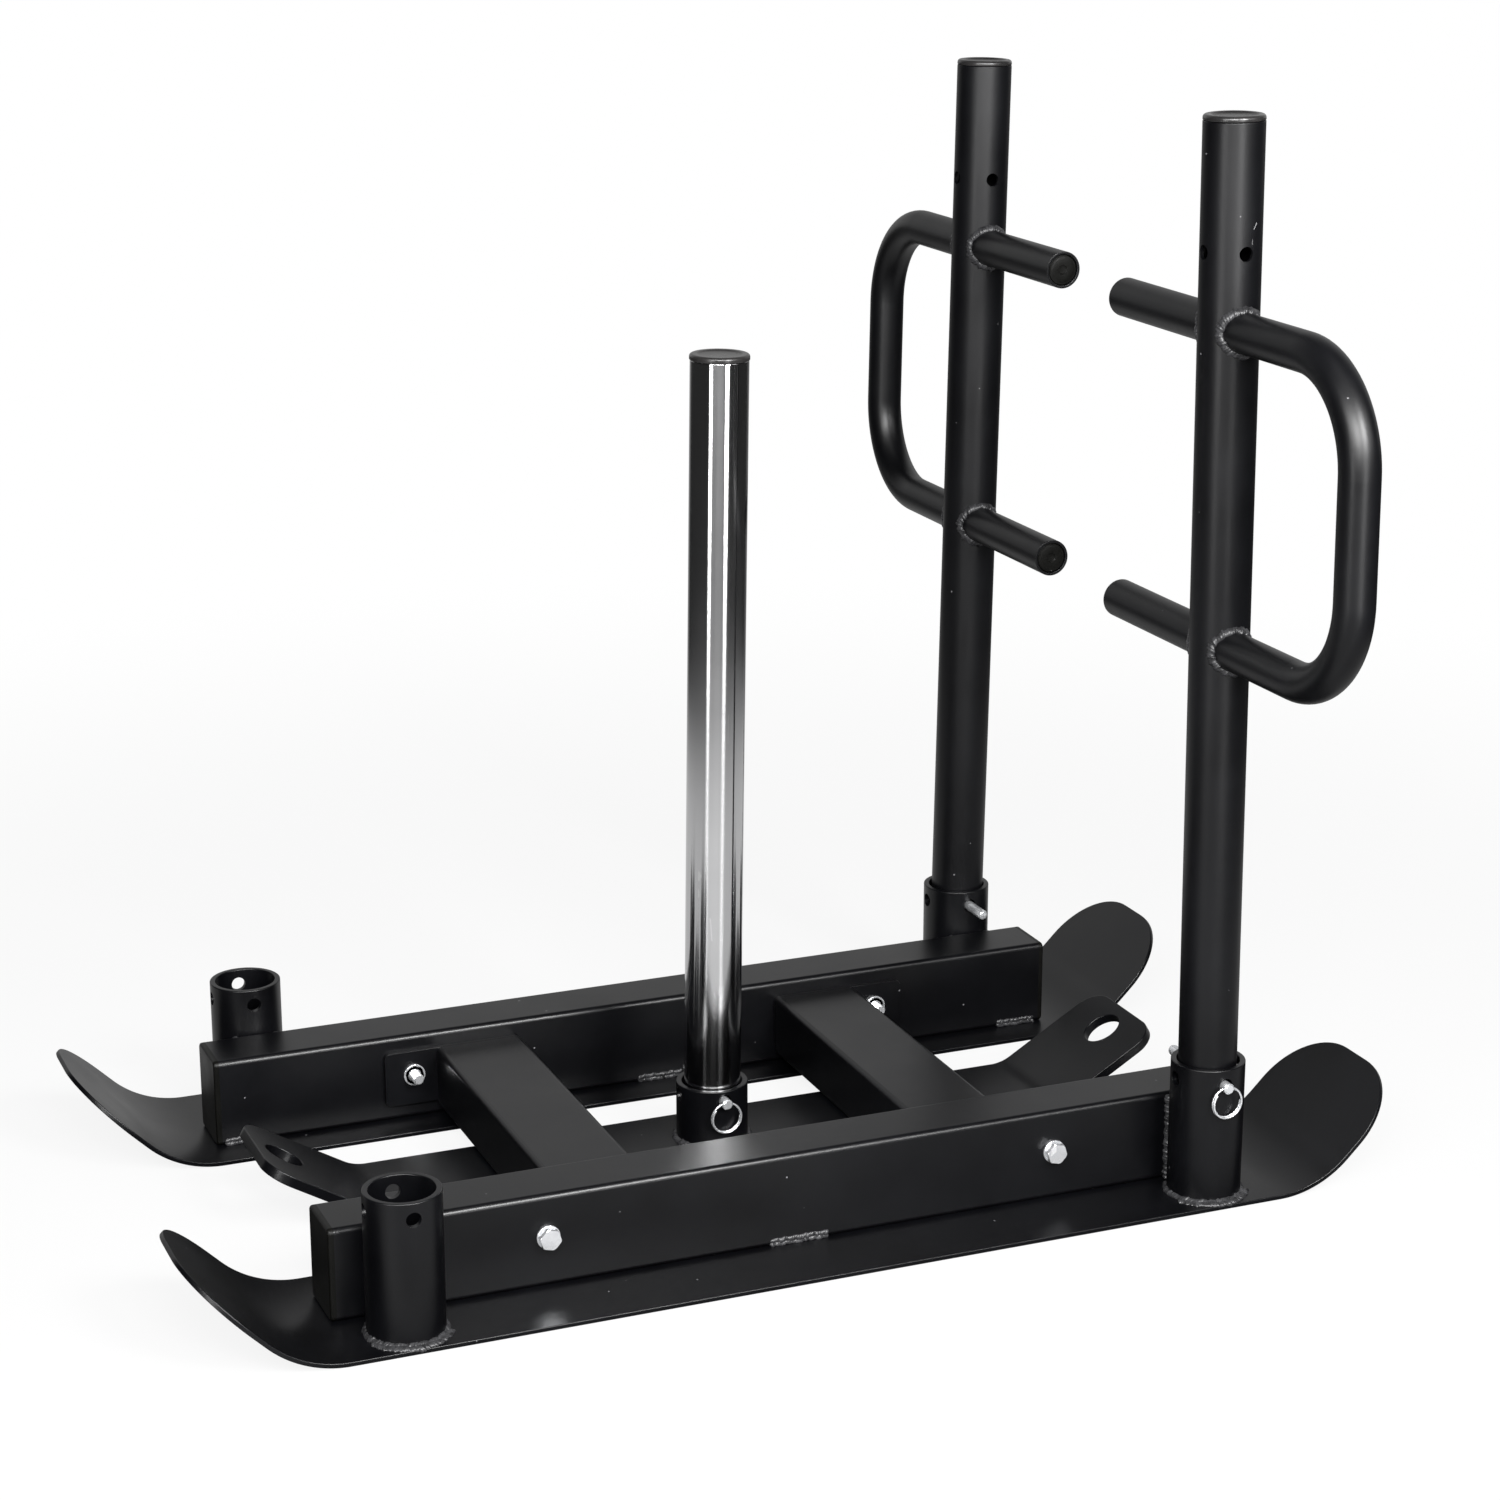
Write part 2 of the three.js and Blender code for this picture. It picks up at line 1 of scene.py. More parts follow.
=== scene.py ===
# Push sled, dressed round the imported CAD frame. Lengths in metres, angles in degrees,
# +X towards the pusher's end, +Z up, the photograph's camera on the -Y side.
import json
import math
import random

import bmesh
import bpy
from mathutils import Matrix, Vector


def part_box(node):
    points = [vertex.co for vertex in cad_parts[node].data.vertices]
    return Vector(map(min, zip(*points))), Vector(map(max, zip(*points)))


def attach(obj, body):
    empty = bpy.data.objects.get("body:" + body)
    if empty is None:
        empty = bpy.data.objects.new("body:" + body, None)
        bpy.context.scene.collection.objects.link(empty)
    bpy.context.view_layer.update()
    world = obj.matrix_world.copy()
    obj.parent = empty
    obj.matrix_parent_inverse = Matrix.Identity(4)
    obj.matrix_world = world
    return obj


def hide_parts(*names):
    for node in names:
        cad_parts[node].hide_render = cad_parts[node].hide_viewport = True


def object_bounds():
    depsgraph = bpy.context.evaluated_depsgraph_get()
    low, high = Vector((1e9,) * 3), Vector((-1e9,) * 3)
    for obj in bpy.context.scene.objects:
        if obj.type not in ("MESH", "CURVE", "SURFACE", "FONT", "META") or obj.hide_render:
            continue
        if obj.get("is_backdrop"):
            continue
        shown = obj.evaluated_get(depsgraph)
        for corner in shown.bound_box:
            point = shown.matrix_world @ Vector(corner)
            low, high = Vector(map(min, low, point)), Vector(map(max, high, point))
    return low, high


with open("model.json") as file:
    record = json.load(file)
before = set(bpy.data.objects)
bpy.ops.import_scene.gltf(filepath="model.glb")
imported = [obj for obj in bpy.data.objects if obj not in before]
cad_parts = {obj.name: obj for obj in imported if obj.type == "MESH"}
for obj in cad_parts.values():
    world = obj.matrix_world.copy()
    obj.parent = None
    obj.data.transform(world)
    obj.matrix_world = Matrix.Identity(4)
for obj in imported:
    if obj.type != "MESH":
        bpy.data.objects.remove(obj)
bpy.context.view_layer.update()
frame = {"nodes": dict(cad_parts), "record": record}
scene = bpy.context.scene
sides = {"near": -1, "far": 1}
ends = {"front": -1, "rear": 1}
print("frame loaded:", len(frame["nodes"]), "nodes")

# Camera, at the photograph's angle
cameraSetup = {
    "place": (-1.01854, -2.59951, 1.20528),
    "azimuth": -22.0987,
    "elevation": 16.6409,
    "roll": -0.0776,
    "lens": 81.23,
    "sensor": 36.0,
}


def viewAxes(azimuth, elevation, roll=0.0):
    a, e, r = (math.radians(v) for v in (azimuth, elevation, roll))
    back = Vector((math.sin(a) * math.cos(e), -math.cos(a) * math.cos(e), math.sin(e)))
    right = Vector((math.cos(a), math.sin(a), 0.0))
    spin = Matrix.Rotation(r, 3, back)
    return spin @ right, spin @ back.cross(right), back


def axesMatrix(right, up, back, place):
    columns = Matrix((right, up, back)).transposed()
    return Matrix.Translation(place) @ columns.to_4x4()


cameraData = bpy.data.cameras.new("camera")
cameraData.lens = cameraSetup["lens"]
cameraData.sensor_width = cameraSetup["sensor"]
cameraData.clip_start = 0.05
cameraData.clip_end = 60.0
camera = bpy.data.objects.new("camera", cameraData)
scene.collection.objects.link(camera)
camera.matrix_world = axesMatrix(
    *viewAxes(cameraSetup["azimuth"], cameraSetup["elevation"], cameraSetup["roll"]),
    cameraSetup["place"],
)
scene.camera = camera
scene.view_settings.view_transform = "Standard"

# Studio: a white sweep behind and under the sled, strip lights and softboxes on the camera's side
studio = {
    "azimuth": -22.1,        # the sweep is square to the camera
    "floorColour": (0.42, 0.42, 0.42, 1.0),
    "floorLift": (0.88, 1.0),        # how much of the floor's white is its own, by the sled and far off
    "liftRange": (0.75, 2.2),
    "ambient": 0.20,
    "backdrop": 0.59,
    "behindRange": (0.40, 0.62),     # how squarely a direction points behind the sled to meet the backdrop
    "backdropTop": (0.62, 0.84),     # height of a direction over which the backdrop ends
    "footprint": (0.53, 0.29),
    # Painted shade: the floor that polished surfaces see is dimmed under and beside the sled, then back to
    # full clear of it
    "footprintPaintedShade": (0.05, 1.07),  # reflected floor under the sled and clear of it
    "footprintFade": (-0.03, 0.07),
    # The rings, streak and side angles below place the floor's painted reflections
    "rings": (1.00, 1.75),   # radii of the two rings of floor below
    "streakFade": 10.0,      # degrees over which a strip light's streak fades to each side
    "sideEnd": 135.0,        # degrees from the camera at which the paper begins to pale behind the sled
}
# Painted reflection: the floor glows for polished surfaces only, on a ring close by and on one further out:
# its level between the strip lights, to the sides, behind the sled, and in a painted streak towards each
# strip light
paintedFloorReflection = {
    "close": {"front": 0.6, "side": 0.45, "behind": 0.6, "streak": 0.9},
    "wide": {"front": 0.2, "side": 0.02, "behind": 0.5, "streak": 0.9},
}
lamps = {
    # name: (azimuth from the camera, distance, height of the middle, width, height, aimed at, watts)
    "stripLeft": (-31.0, 2.1, 0.52, 0.36, 0.78, 0.50, 10.0),
    "stripRight": (30.5, 2.1, 0.52, 0.47, 0.78, 0.50, 11.0),
    "cardBetween": (-4.0, 2.1, 0.80, 1.20, 0.50, 0.65, 1.0),
    "boxLeft": (-24.0, 2.1, 1.65, 0.90, 0.80, 0.9, 38.0),
    "boxMiddle": (4.0, 2.1, 1.65, 1.00, 0.80, 0.9, 92.0),
    "boxRight": (36.0, 2.1, 1.65, 0.70, 0.80, 0.9, 98.0),
    "sideRight": (62.0, 2.3, 1.60, 0.80, 0.80, 0.5, 9.0),
    "overhead": (20.0, 0.6, 2.70, 1.20, 1.20, 0.3, 3.0),
    "backLeft": (-150.0, 2.4, 1.40, 0.60, 1.20, 0.5, 0.6),
    "backRight": (150.0, 2.4, 1.40, 0.60, 1.20, 0.5, 0.6),
}


def nodeMaker(tree):
    # A setting with a capital is a socket, "second" is the second input, the rest are the node's own
    def make(kind, **settings):
        node = tree.nodes.new("ShaderNode" + kind)
        for key, value in settings.items():
            if key == "second":
                node.inputs[1].default_value = value
            elif key[0].isupper():
                node.inputs[key.replace("_", " ")].default_value = value
            else:
                setattr(node, key, value)
        return node
    return make


def chain(tree, *links):
    for source, output, target, entry in links:
        tree.links.new(source.outputs[output], target.inputs[entry])


def eased(make, span, levels=(0.0, 1.0)):
    return make("MapRange", interpolation_type="SMOOTHSTEP", From_Min=span[0], From_Max=span[1],
                To_Min=levels[0], To_Max=levels[1])


def paintedReflectionRamp(make, glow):
    # Painted reflection levels by direction: degrees clockwise from the camera, as for the lamps
    left, right = lamps["stripLeft"][0], lamps["stripRight"][0]
    fade, sideEnd = studio["streakFade"], studio["sideEnd"]
    stops = [
        (-180, glow["behind"]), (-sideEnd, glow["side"]), (left - fade, glow["side"]), (left, glow["streak"]),
        (left + fade, glow["front"]), (right - fade, glow["front"]), (right, glow["streak"]),
        (right + fade, glow["side"]), (sideEnd, glow["side"]), (180, glow["behind"]),
    ]
    ramp = make("ValToRGB")
    marks = ramp.color_ramp.elements
    marks[1].position = 1.0
    for _ in stops[2:]:
        marks.new(0.5)
    for mark, (angle, level) in zip(marks, stops):
        mark.position = (angle + 180) / 360
        mark.color = (level, level, level, 1.0)
    return ramp


def buildFloor():
    bm = bmesh.new()
    bmesh.ops.create_grid(bm, x_segments=1, y_segments=1, size=12.0)
    mesh = bpy.data.meshes.new("floor")
    bm.to_mesh(mesh)
    bm.free()
    floor = bpy.data.objects.new("floor", mesh)
    scene.collection.objects.link(floor)
    floor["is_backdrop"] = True
    material = bpy.data.materials.new("paperSweep")
    material.use_nodes = True
    tree = material.node_tree
    tree.nodes.clear()
    make = nodeMaker(tree)
    place = make("TexCoord")
    radius = make("VectorMath", operation="LENGTH")
    facing = make("Mapping", vector_type="POINT")
    facing.inputs["Rotation"].default_value = (0.0, 0.0, -math.radians(studio["azimuth"]))
    split = make("SeparateXYZ")
    nearer = make("Math", operation="MULTIPLY", second=-1.0)
    angle = make("Math", operation="ARCTAN2")
    share = make("MapRange", From_Min=-math.pi, From_Max=math.pi)
    # Painted reflection: floor glow levels by direction, on the close and the wide ring
    close = paintedReflectionRamp(make, paintedFloorReflection["close"])
    wide = paintedReflectionRamp(make, paintedFloorReflection["wide"])
    outwards = eased(make, studio["rings"])
    ringMix = make("Mix", data_type="RGBA")
    sledSplit = make("SeparateXYZ")
    clear = make("Math", operation="MAXIMUM")
    for i, axis in enumerate("XY"):
        size = make("Math", operation="ABSOLUTE")
        past = make("Math", operation="SUBTRACT", second=studio["footprint"][i])
        chain(tree, (sledSplit, axis, size, 0), (size, 0, past, 0), (past, 0, clear, i))
    # Painted shade: the floor's glow for polished surfaces is dimmed under the sled
    shade = eased(make, studio["footprintFade"], studio["footprintPaintedShade"])
    reflected = make("Math", operation="MULTIPLY")
    rays = make("LightPath")
    level = make("Math", operation="MAXIMUM")
    lift = eased(make, studio["liftRange"], studio["floorLift"])
    liftSeen = make("Math", operation="MULTIPLY")
    own = make("Math", operation="MAXIMUM")
    paper = make("BsdfDiffuse", Color=studio["floorColour"])
    glow = make("Emission")
    mixed = make("MixShader")
    output = make("OutputMaterial")
    chain(
        tree,
        (place, "Object", facing, "Vector"),
        (place, "Object", radius, 0),
        (facing, "Vector", split, "Vector"),
        (split, "Y", nearer, 0),
        (split, "X", angle, 0),
        (nearer, 0, angle, 1),
        (angle, 0, share, "Value"),
        (share, "Result", close, "Fac"),
        (share, "Result", wide, "Fac"),
        (radius, "Value", outwards, "Value"),
        (outwards, "Result", ringMix, 0),
        (close, "Color", ringMix, 6),
        (wide, "Color", ringMix, 7),
        (place, "Object", sledSplit, "Vector"),
        (clear, 0, shade, "Value"),
        (ringMix, 2, reflected, 0),
        (shade, "Result", reflected, 1),
        (reflected, 0, level, 0),
        (rays, "Is Camera Ray", level, 1),
        (level, 0, glow, "Strength"),
        (radius, "Value", lift, "Value"),
        (lift, "Result", liftSeen, 0),
        (rays, "Is Camera Ray", liftSeen, 1),
        (rays, "Is Glossy Ray", own, 0),
        (liftSeen, 0, own, 1),
        (own, 0, mixed, "Fac"),
        (paper, 0, mixed, 1),
        (glow, 0, mixed, 2),
        (mixed, 0, output, "Surface"),
    )
    mesh.materials.append(material)


def buildWorld():
    world = bpy.data.worlds.new("studio")
    scene.world = world
    world.use_nodes = True
    tree = world.node_tree
    tree.nodes.clear()
    make = nodeMaker(tree)
    a = math.radians(studio["azimuth"])
    away = Vector((-math.sin(a), math.cos(a), 0.0))
    place = make("TexCoord")
    along = make("VectorMath", operation="DOT_PRODUCT", second=away)
    split = make("SeparateXYZ")
    behind = eased(make, studio["behindRange"])
    top = eased(make, studio["backdropTop"], (1.0, 0.0))
    backdrop = make("Math", operation="MULTIPLY")
    glossLevel = make("Math", operation="MULTIPLY", second=studio["backdrop"])
    rays = make("LightPath")
    seen = make("Mix", data_type="FLOAT")
    seen.inputs[2].default_value = studio["ambient"]
    seenByCamera = make("Mix", data_type="FLOAT")
    seenByCamera.inputs[3].default_value = 1.0
    background = make("Background", Color=(1.0, 1.0, 1.0, 1.0))
    output = make("OutputWorld")
    chain(
        tree,
        (place, "Generated", along, 0),
        (place, "Generated", split, 0),
        (along, "Value", behind, "Value"),
        (split, "Z", top, "Value"),
        (behind, "Result", backdrop, 0),
        (top, "Result", backdrop, 1),
        (backdrop, 0, glossLevel, 0),
        (rays, "Is Glossy Ray", seen, 0),
        (glossLevel, 0, seen, 3),
        (rays, "Is Camera Ray", seenByCamera, 0),
        (seen, 0, seenByCamera, 2),
        (seenByCamera, 0, background, "Strength"),
        (background, 0, output, "Surface"),
    )


def buildLamps():
    for name, (azimuth, distance, height, width, tall, aimHeight, watts) in lamps.items():
        a = math.radians(studio["azimuth"] + azimuth)
        place = Vector((math.sin(a) * distance, -math.cos(a) * distance, height))
        lamp = bpy.data.lights.new(name, "AREA")
        lamp.shape = "RECTANGLE"
        lamp.size = width
        lamp.size_y = tall
        lamp.energy = watts
        holder = bpy.data.objects.new(name, lamp)
        holder.visible_camera = False
        scene.collection.objects.link(holder)
        turn = (place - Vector((0.0, 0.0, aimHeight))).to_track_quat("Z", "Y").to_matrix().to_4x4()
        holder.matrix_world = Matrix.Translation(place) @ turn


buildFloor()
buildWorld()
buildLamps()
print("studio and camera placed")


# Shared surface effects, as node groups
def newGroup(name, inputs, outputs):
    group = bpy.data.node_groups.new(name, "ShaderNodeTree")
    for socketName, value in inputs.items():
        socket = group.interface.new_socket(socketName, in_out="INPUT", socket_type="NodeSocketFloat")
        socket.default_value = value
    for socketName in outputs:
        group.interface.new_socket(socketName, in_out="OUTPUT", socket_type="NodeSocketFloat")
    return group, group.nodes.new("NodeGroupInput"), group.nodes.new("NodeGroupOutput")


def buildGrainGroup():
    # Fine pebbled grain, and a slow mottle as of uneven powder or dust
    scales = {"Grain Scale": 900.0, "Mottle Scale": 14.0}
    group, entry, leave = newGroup("surfaceGrain", scales, ["Grain", "Mottle"])
    make = nodeMaker(group)
    place = make("TexCoord")
    grain = make("TexNoise", Detail=2.0, Roughness=0.55)
    mottle = make("TexNoise", Detail=4.0, Roughness=0.6)
    chain(
        group,
        (place, "Object", grain, "Vector"),
        (place, "Object", mottle, "Vector"),
        (entry, "Grain Scale", grain, "Scale"),
        (entry, "Mottle Scale", mottle, "Scale"),
        (grain, "Fac", leave, "Grain"),
        (mottle, "Fac", leave, "Mottle"),
    )
    return group


def buildSpeckGroup():
    # Sparse specks of dust and lint
    group, entry, leave = newGroup("dustSpecks", {"Scale": 70.0, "Size": 0.05}, ["Specks"])
    make = nodeMaker(group)
    place = make("TexCoord")
    cells = make("TexVoronoi", feature="F1", Randomness=1.0)
    pick = make("Math", operation="LESS_THAN")
    rare = make("Math", operation="GREATER_THAN", second=0.72)
    both = make("Math", operation="MULTIPLY")
    split = make("SeparateColor")
    chain(
        group,
        (place, "Object", cells, "Vector"),
        (entry, "Scale", cells, "Scale"),
        (cells, "Distance", pick, 0),
        (entry, "Size", pick, 1),
        (cells, "Color", split, "Color"),
        (split, "Red", rare, 0),
        (pick, 0, both, 0),
        (rare, 0, both, 1),
        (both, 0, leave, "Specks"),
    )
    return group


def buildScratchGroup():
    # Thin hairlines, longer along Z than across
    group, entry, leave = newGroup("hairlines", {"Scale": 26.0, "Stretch": 0.06, "Width": 0.02}, ["Lines"])
    make = nodeMaker(group)
    place = make("TexCoord")
    stretch = make("CombineXYZ")
    stretch.inputs["X"].default_value = 1.0
    stretch.inputs["Y"].default_value = 1.0
    scaled = make("VectorMath", operation="MULTIPLY")
    wave = make("TexNoise", Detail=1.5, Distortion=0.35)
    middle = make("Math", operation="SUBTRACT", second=0.5)
    size = make("Math", operation="ABSOLUTE")
    thin = make("Math", operation="LESS_THAN")
    patches = make("TexNoise", Scale=31.0, Detail=1.0)
    rare = make("Math", operation="GREATER_THAN", second=0.6)
    both = make("Math", operation="MULTIPLY")
    chain(
        group,
        (entry, "Stretch", stretch, "Z"),
        (place, "Object", scaled, 0),
        (stretch, "Vector", scaled, 1),
        (scaled, "Vector", wave, "Vector"),
        (entry, "Scale", wave, "Scale"),
        (wave, "Fac", middle, 0),
        (middle, 0, size, 0),
        (size, 0, thin, 0),
        (entry, "Width", thin, 1),
        (place, "Object", patches, "Vector"),
        (patches, "Fac", rare, 0),
        (thin, 0, both, 0),
        (rare, 0, both, 1),
        (both, 0, leave, "Lines"),
    )
    return group


def buildScuffGroup():
    # One short straight nick: within Width of the line from Start to Start + Along
    group, entry, leave = newGroup("scuffLine", {"Width": 0.0005}, ["Mask"])
    for socketName in ("Start", "Along"):
        group.interface.new_socket(socketName, in_out="INPUT", socket_type="NodeSocketVector")
    make = nodeMaker(group)
    place = make("TexCoord")
    offset = make("VectorMath", operation="SUBTRACT")
    reached = make("VectorMath", operation="DOT_PRODUCT")
    whole = make("VectorMath", operation="DOT_PRODUCT")
    share = make("Math", operation="DIVIDE", use_clamp=True)
    foot = make("VectorMath", operation="SCALE")
    gap = make("VectorMath", operation="DISTANCE")
    inside = make("Math", operation="LESS_THAN")
    chain(
        group,
        (place, "Object", offset, 0),
        (entry, "Start", offset, 1),
        (offset, "Vector", reached, 0),
        (entry, "Along", reached, 1),
        (entry, "Along", whole, 0),
        (entry, "Along", whole, 1),
        (reached, "Value", share, 0),
        (whole, "Value", share, 1),
        (entry, "Along", foot, 0),
        (share, 0, foot, "Scale"),
        (offset, "Vector", gap, 0),
        (foot, "Vector", gap, 1),
        (gap, "Value", inside, 0),
        (entry, "Width", inside, 1),
        (inside, 0, leave, "Mask"),
    )
    return group


grainGroup = buildGrainGroup()
speckGroup = buildSpeckGroup()
scratchGroup = buildScratchGroup()
scuffGroup = buildScuffGroup()
scuffs = [
    # start, end, half width, grey
    ((0.3574, -0.2732, 0.8390), (0.3546, -0.2741, 0.8345), 0.00036, 0.16),
    ((0.3537, -0.2744, 0.8262), (0.3535, -0.2744, 0.8222), 0.00030, 0.07),
]

paint = {
    "dark": (0.0007, 0.0007, 0.0010), "light": (0.0015, 0.0016, 0.0022), "specular": 0.30,
    "roughness": (0.29, 0.36), "grainScale": 1000.0, "mottleScale": 11.0, "bump": 0.22, "depth": 0.00014,
    "marks": "dustSpecks", "markColour": (0.11, 0.11, 0.115), "markScale": 55.0, "markSize": 0.045,
}
finishes = {
    "powderCoat": paint,
    "tubeCoat": {**paint, "roughness": (0.35, 0.42)},
    "weldedCoat": {
        "dark": (0.0060, 0.0060, 0.0064), "light": (0.030, 0.030, 0.032), "specular": 0.34,
        "roughness": (0.30, 0.44), "grainScale": 420.0, "mottleScale": 160.0, "bump": 0.40, "depth": 0.0003,
        "marks": "dustSpecks", "markColour": (0.06, 0.06, 0.063), "markScale": 420.0, "markSize": 0.10,
    },
    "plugPlastic": {
        "dark": (0.0010, 0.0010, 0.0008), "light": (0.0020, 0.0020, 0.0016), "specular": 0.16,
        "roughness": (0.36, 0.46), "grainScale": 700.0, "mottleScale": 30.0, "bump": 0.14, "depth": 0.00015,
        "marks": "dustSpecks", "markColour": (0.06, 0.06, 0.06), "markScale": 90.0, "markSize": 0.05,
    },
    "capPlastic": {
        "dark": (0.008, 0.008, 0.008), "light": (0.015, 0.014, 0.014), "specular": 0.40,
        "roughness": (0.24, 0.32), "grainScale": 700.0, "mottleScale": 30.0, "bump": 0.10, "depth": 0.00015,
        "marks": "dustSpecks", "markColour": (0.14, 0.14, 0.14), "markScale": 90.0, "markSize": 0.06,
    },
    "mirrorChrome": {
        "dark": (0.80, 0.80, 0.81), "light": (0.88, 0.88, 0.89), "metallic": 1.0, "specular": 0.5,
        "roughness": (0.085, 0.105), "grainScale": 60.0, "mottleScale": 8.0, "bump": 0.006, "depth": 0.00015,
        "marks": "hairlines", "markColour": (0.94, 0.94, 0.95), "markScale": 26.0, "markSize": 0.006,
        "streaked": 1.0,
    },
    "brightZinc": {
        "dark": (0.64, 0.65, 0.67), "light": (0.75, 0.76, 0.78), "metallic": 0.80, "specular": 0.5,
        "roughness": (0.14, 0.22), "grainScale": 500.0, "mottleScale": 70.0, "bump": 0.05, "depth": 0.0001,
        "marks": "hairlines", "markColour": (0.90, 0.90, 0.92), "markScale": 60.0, "markSize": 0.02,
    },
}


def buildMaterial(name, nicks=(), title=None):
    look = finishes[name]
    material = bpy.data.materials.new(title or name)
    material.use_nodes = True
    tree = material.node_tree
    tree.nodes.clear()
    make = nodeMaker(tree)
    grain = make("Group", node_tree=grainGroup)
    grain.inputs["Grain Scale"].default_value = look["grainScale"]
    grain.inputs["Mottle Scale"].default_value = look["mottleScale"]
    marks = make("Group", node_tree=bpy.data.node_groups[look["marks"]])
    marks.inputs["Scale"].default_value = look["markScale"]
    marks.inputs["Size" if look["marks"] == "dustSpecks" else "Width"].default_value = look["markSize"]
    spread = make("MapRange", From_Min=0.3, From_Max=0.7)
    colour = make("Mix", data_type="RGBA")
    colour.inputs[6].default_value = (*look["dark"], 1.0)
    colour.inputs[7].default_value = (*look["light"], 1.0)
    marked = make("Mix", data_type="RGBA")
    marked.inputs[7].default_value = (*look["markColour"], 1.0)
    nicked = marked
    for start, stop, width, grey in nicks:
        nick = make("Group", node_tree=scuffGroup)
        nick.inputs["Start"].default_value = start
        nick.inputs["Along"].default_value = Vector(stop) - Vector(start)
        nick.inputs["Width"].default_value = width
        layer = make("Mix", data_type="RGBA")
        layer.inputs[7].default_value = (grey, grey, grey * 1.02, 1.0)
        chain(tree, (nicked, 2, layer, 6), (nick, "Mask", layer, 0))
        nicked = layer
    rough = make("MapRange", From_Min=0.3, From_Max=0.7, To_Min=look["roughness"][0],
                 To_Max=look["roughness"][1])
    bump = make("Bump", Strength=look["bump"], Distance=look["depth"])
    shader = make("BsdfPrincipled", Metallic=look.get("metallic", 0.0), Specular_IOR_Level=look["specular"])
    if "streaked" in look:
        # Polished round its axis, so highlights run long along it
        shader.inputs["Anisotropic"].default_value = look["streaked"]
        shader.inputs["Anisotropic Rotation"].default_value = 0.25
        around = make("Tangent", direction_type="RADIAL", axis="Z")
        chain(tree, (around, "Tangent", shader, "Tangent"))
    output = make("OutputMaterial")
    chain(
        tree,
        (grain, "Mottle", spread, "Value"),
        (spread, "Result", colour, 0),
        (colour, 2, marked, 6),
        (marks, 0, marked, 0),
        (nicked, 2, shader, "Base Color"),
        (grain, "Mottle", rough, "Value"),
        (rough, "Result", shader, "Roughness"),
        (grain, "Grain", bump, "Height"),
        (bump, "Normal", shader, "Normal"),
        (shader, 0, output, "Surface"),
    )
    return material


powderCoat = buildMaterial("powderCoat")
tubeCoat = buildMaterial("tubeCoat")
scuffedCoat = buildMaterial("tubeCoat", scuffs, "scuffedCoat")
weldedCoat = buildMaterial("weldedCoat")
plugPlastic = buildMaterial("plugPlastic")
capPlastic = buildMaterial("capPlastic")
mirrorChrome = buildMaterial("mirrorChrome")
brightZinc = buildMaterial("brightZinc")
coatOf = {
    "powder_black": powderCoat, "plastic_black": plugPlastic, "chrome": mirrorChrome, "zinc": brightZinc,
}
slotNames = {row["node"]: row["material_slot"] for row in frame["record"]["subparts"]}
for nodeName, cadNode in frame["nodes"].items():
    cadNode.data.materials.clear()
    cadNode.data.materials.append(coatOf[slotNames[nodeName]])
print("materials built:", len(finishes))


# Shared modelling steps
def addObject(name, bm):
    mesh = bpy.data.meshes.new(name)
    bm.to_mesh(mesh)
    bm.free()
    made = bpy.data.objects.new(name, mesh)
    scene.collection.objects.link(made)
    return made


def evaluated(made):
    bpy.context.view_layer.update()
    view = made.evaluated_get(bpy.context.evaluated_depsgraph_get())
    bm = bmesh.new()
    bm.from_mesh(view.to_mesh())
    view.to_mesh_clear()
    return bm


def dropObject(made):
    mesh = made.data
    bpy.data.objects.remove(made)
    bpy.data.meshes.remove(mesh)


def finishPiece(name, bm, material, replaced=(), body="frame", smooth=38):
    piece = addObject(name, bm)
    piece.data.materials.append(material)
    piece.data.shade_smooth()
    piece.data.set_sharp_from_angle(angle=math.radians(smooth))
    weighted = piece.modifiers.new("weighted", "WEIGHTED_NORMAL")
    weighted.keep_sharp = True
    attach(piece, body)
    if replaced:
        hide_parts(*replaced)
    return piece


def turned(profile, steps=96):
    bm = bmesh.new()
    verts = [bm.verts.new((r, 0.0, z)) for r, z in profile]
    edges = [bm.edges.new(pair) for pair in zip(verts, verts[1:])]
    bmesh.ops.spin(bm, geom=verts + edges, cent=(0, 0, 0), axis=(0, 0, 1), angle=math.tau, steps=steps,
                   use_merge=True)
    bmesh.ops.remove_doubles(bm, verts=bm.verts, dist=1e-6)
    bmesh.ops.recalc_face_normals(bm, faces=bm.faces)
    return bm


def carve(bm, tools, operation="DIFFERENCE"):
    body = addObject("carved", bm)
    cutters = [addObject("cutter", tool) for tool in tools]
    for cutter in cutters:
        step = body.modifiers.new("cut", "BOOLEAN")
        step.operation = operation
        step.solver = "EXACT"
        step.object = cutter
    result = evaluated(body)
    for made in [body, *cutters]:
        dropObject(made)
    bmesh.ops.remove_doubles(result, verts=result.verts, dist=2e-6)
    return result


def bevel(bm, geometry, offset, segments, affect="EDGES", **more):
    bmesh.ops.bevel(bm, geom=geometry, offset=offset, offset_type="OFFSET", segments=segments, profile=0.5,
                    affect=affect, material=-1, **more)


def softenEdges(bm, width, segments=3, sharper=40, where=None):
    limit = math.radians(sharper)
    edges = [
        e for e in bm.edges
        if len(e.link_faces) == 2 and e.calc_face_angle() > limit and (where is None or where(e))
    ]
    if edges:
        bevel(bm, edges, width, segments, clamp_overlap=True)


def tidyRims(bm, gap=0.00025):
    rim = {v for e in bm.edges if len(e.link_faces) == 2 and e.calc_face_angle() > 0.7 for v in e.verts}
    bmesh.ops.remove_doubles(bm, verts=list(rim), dist=gap)


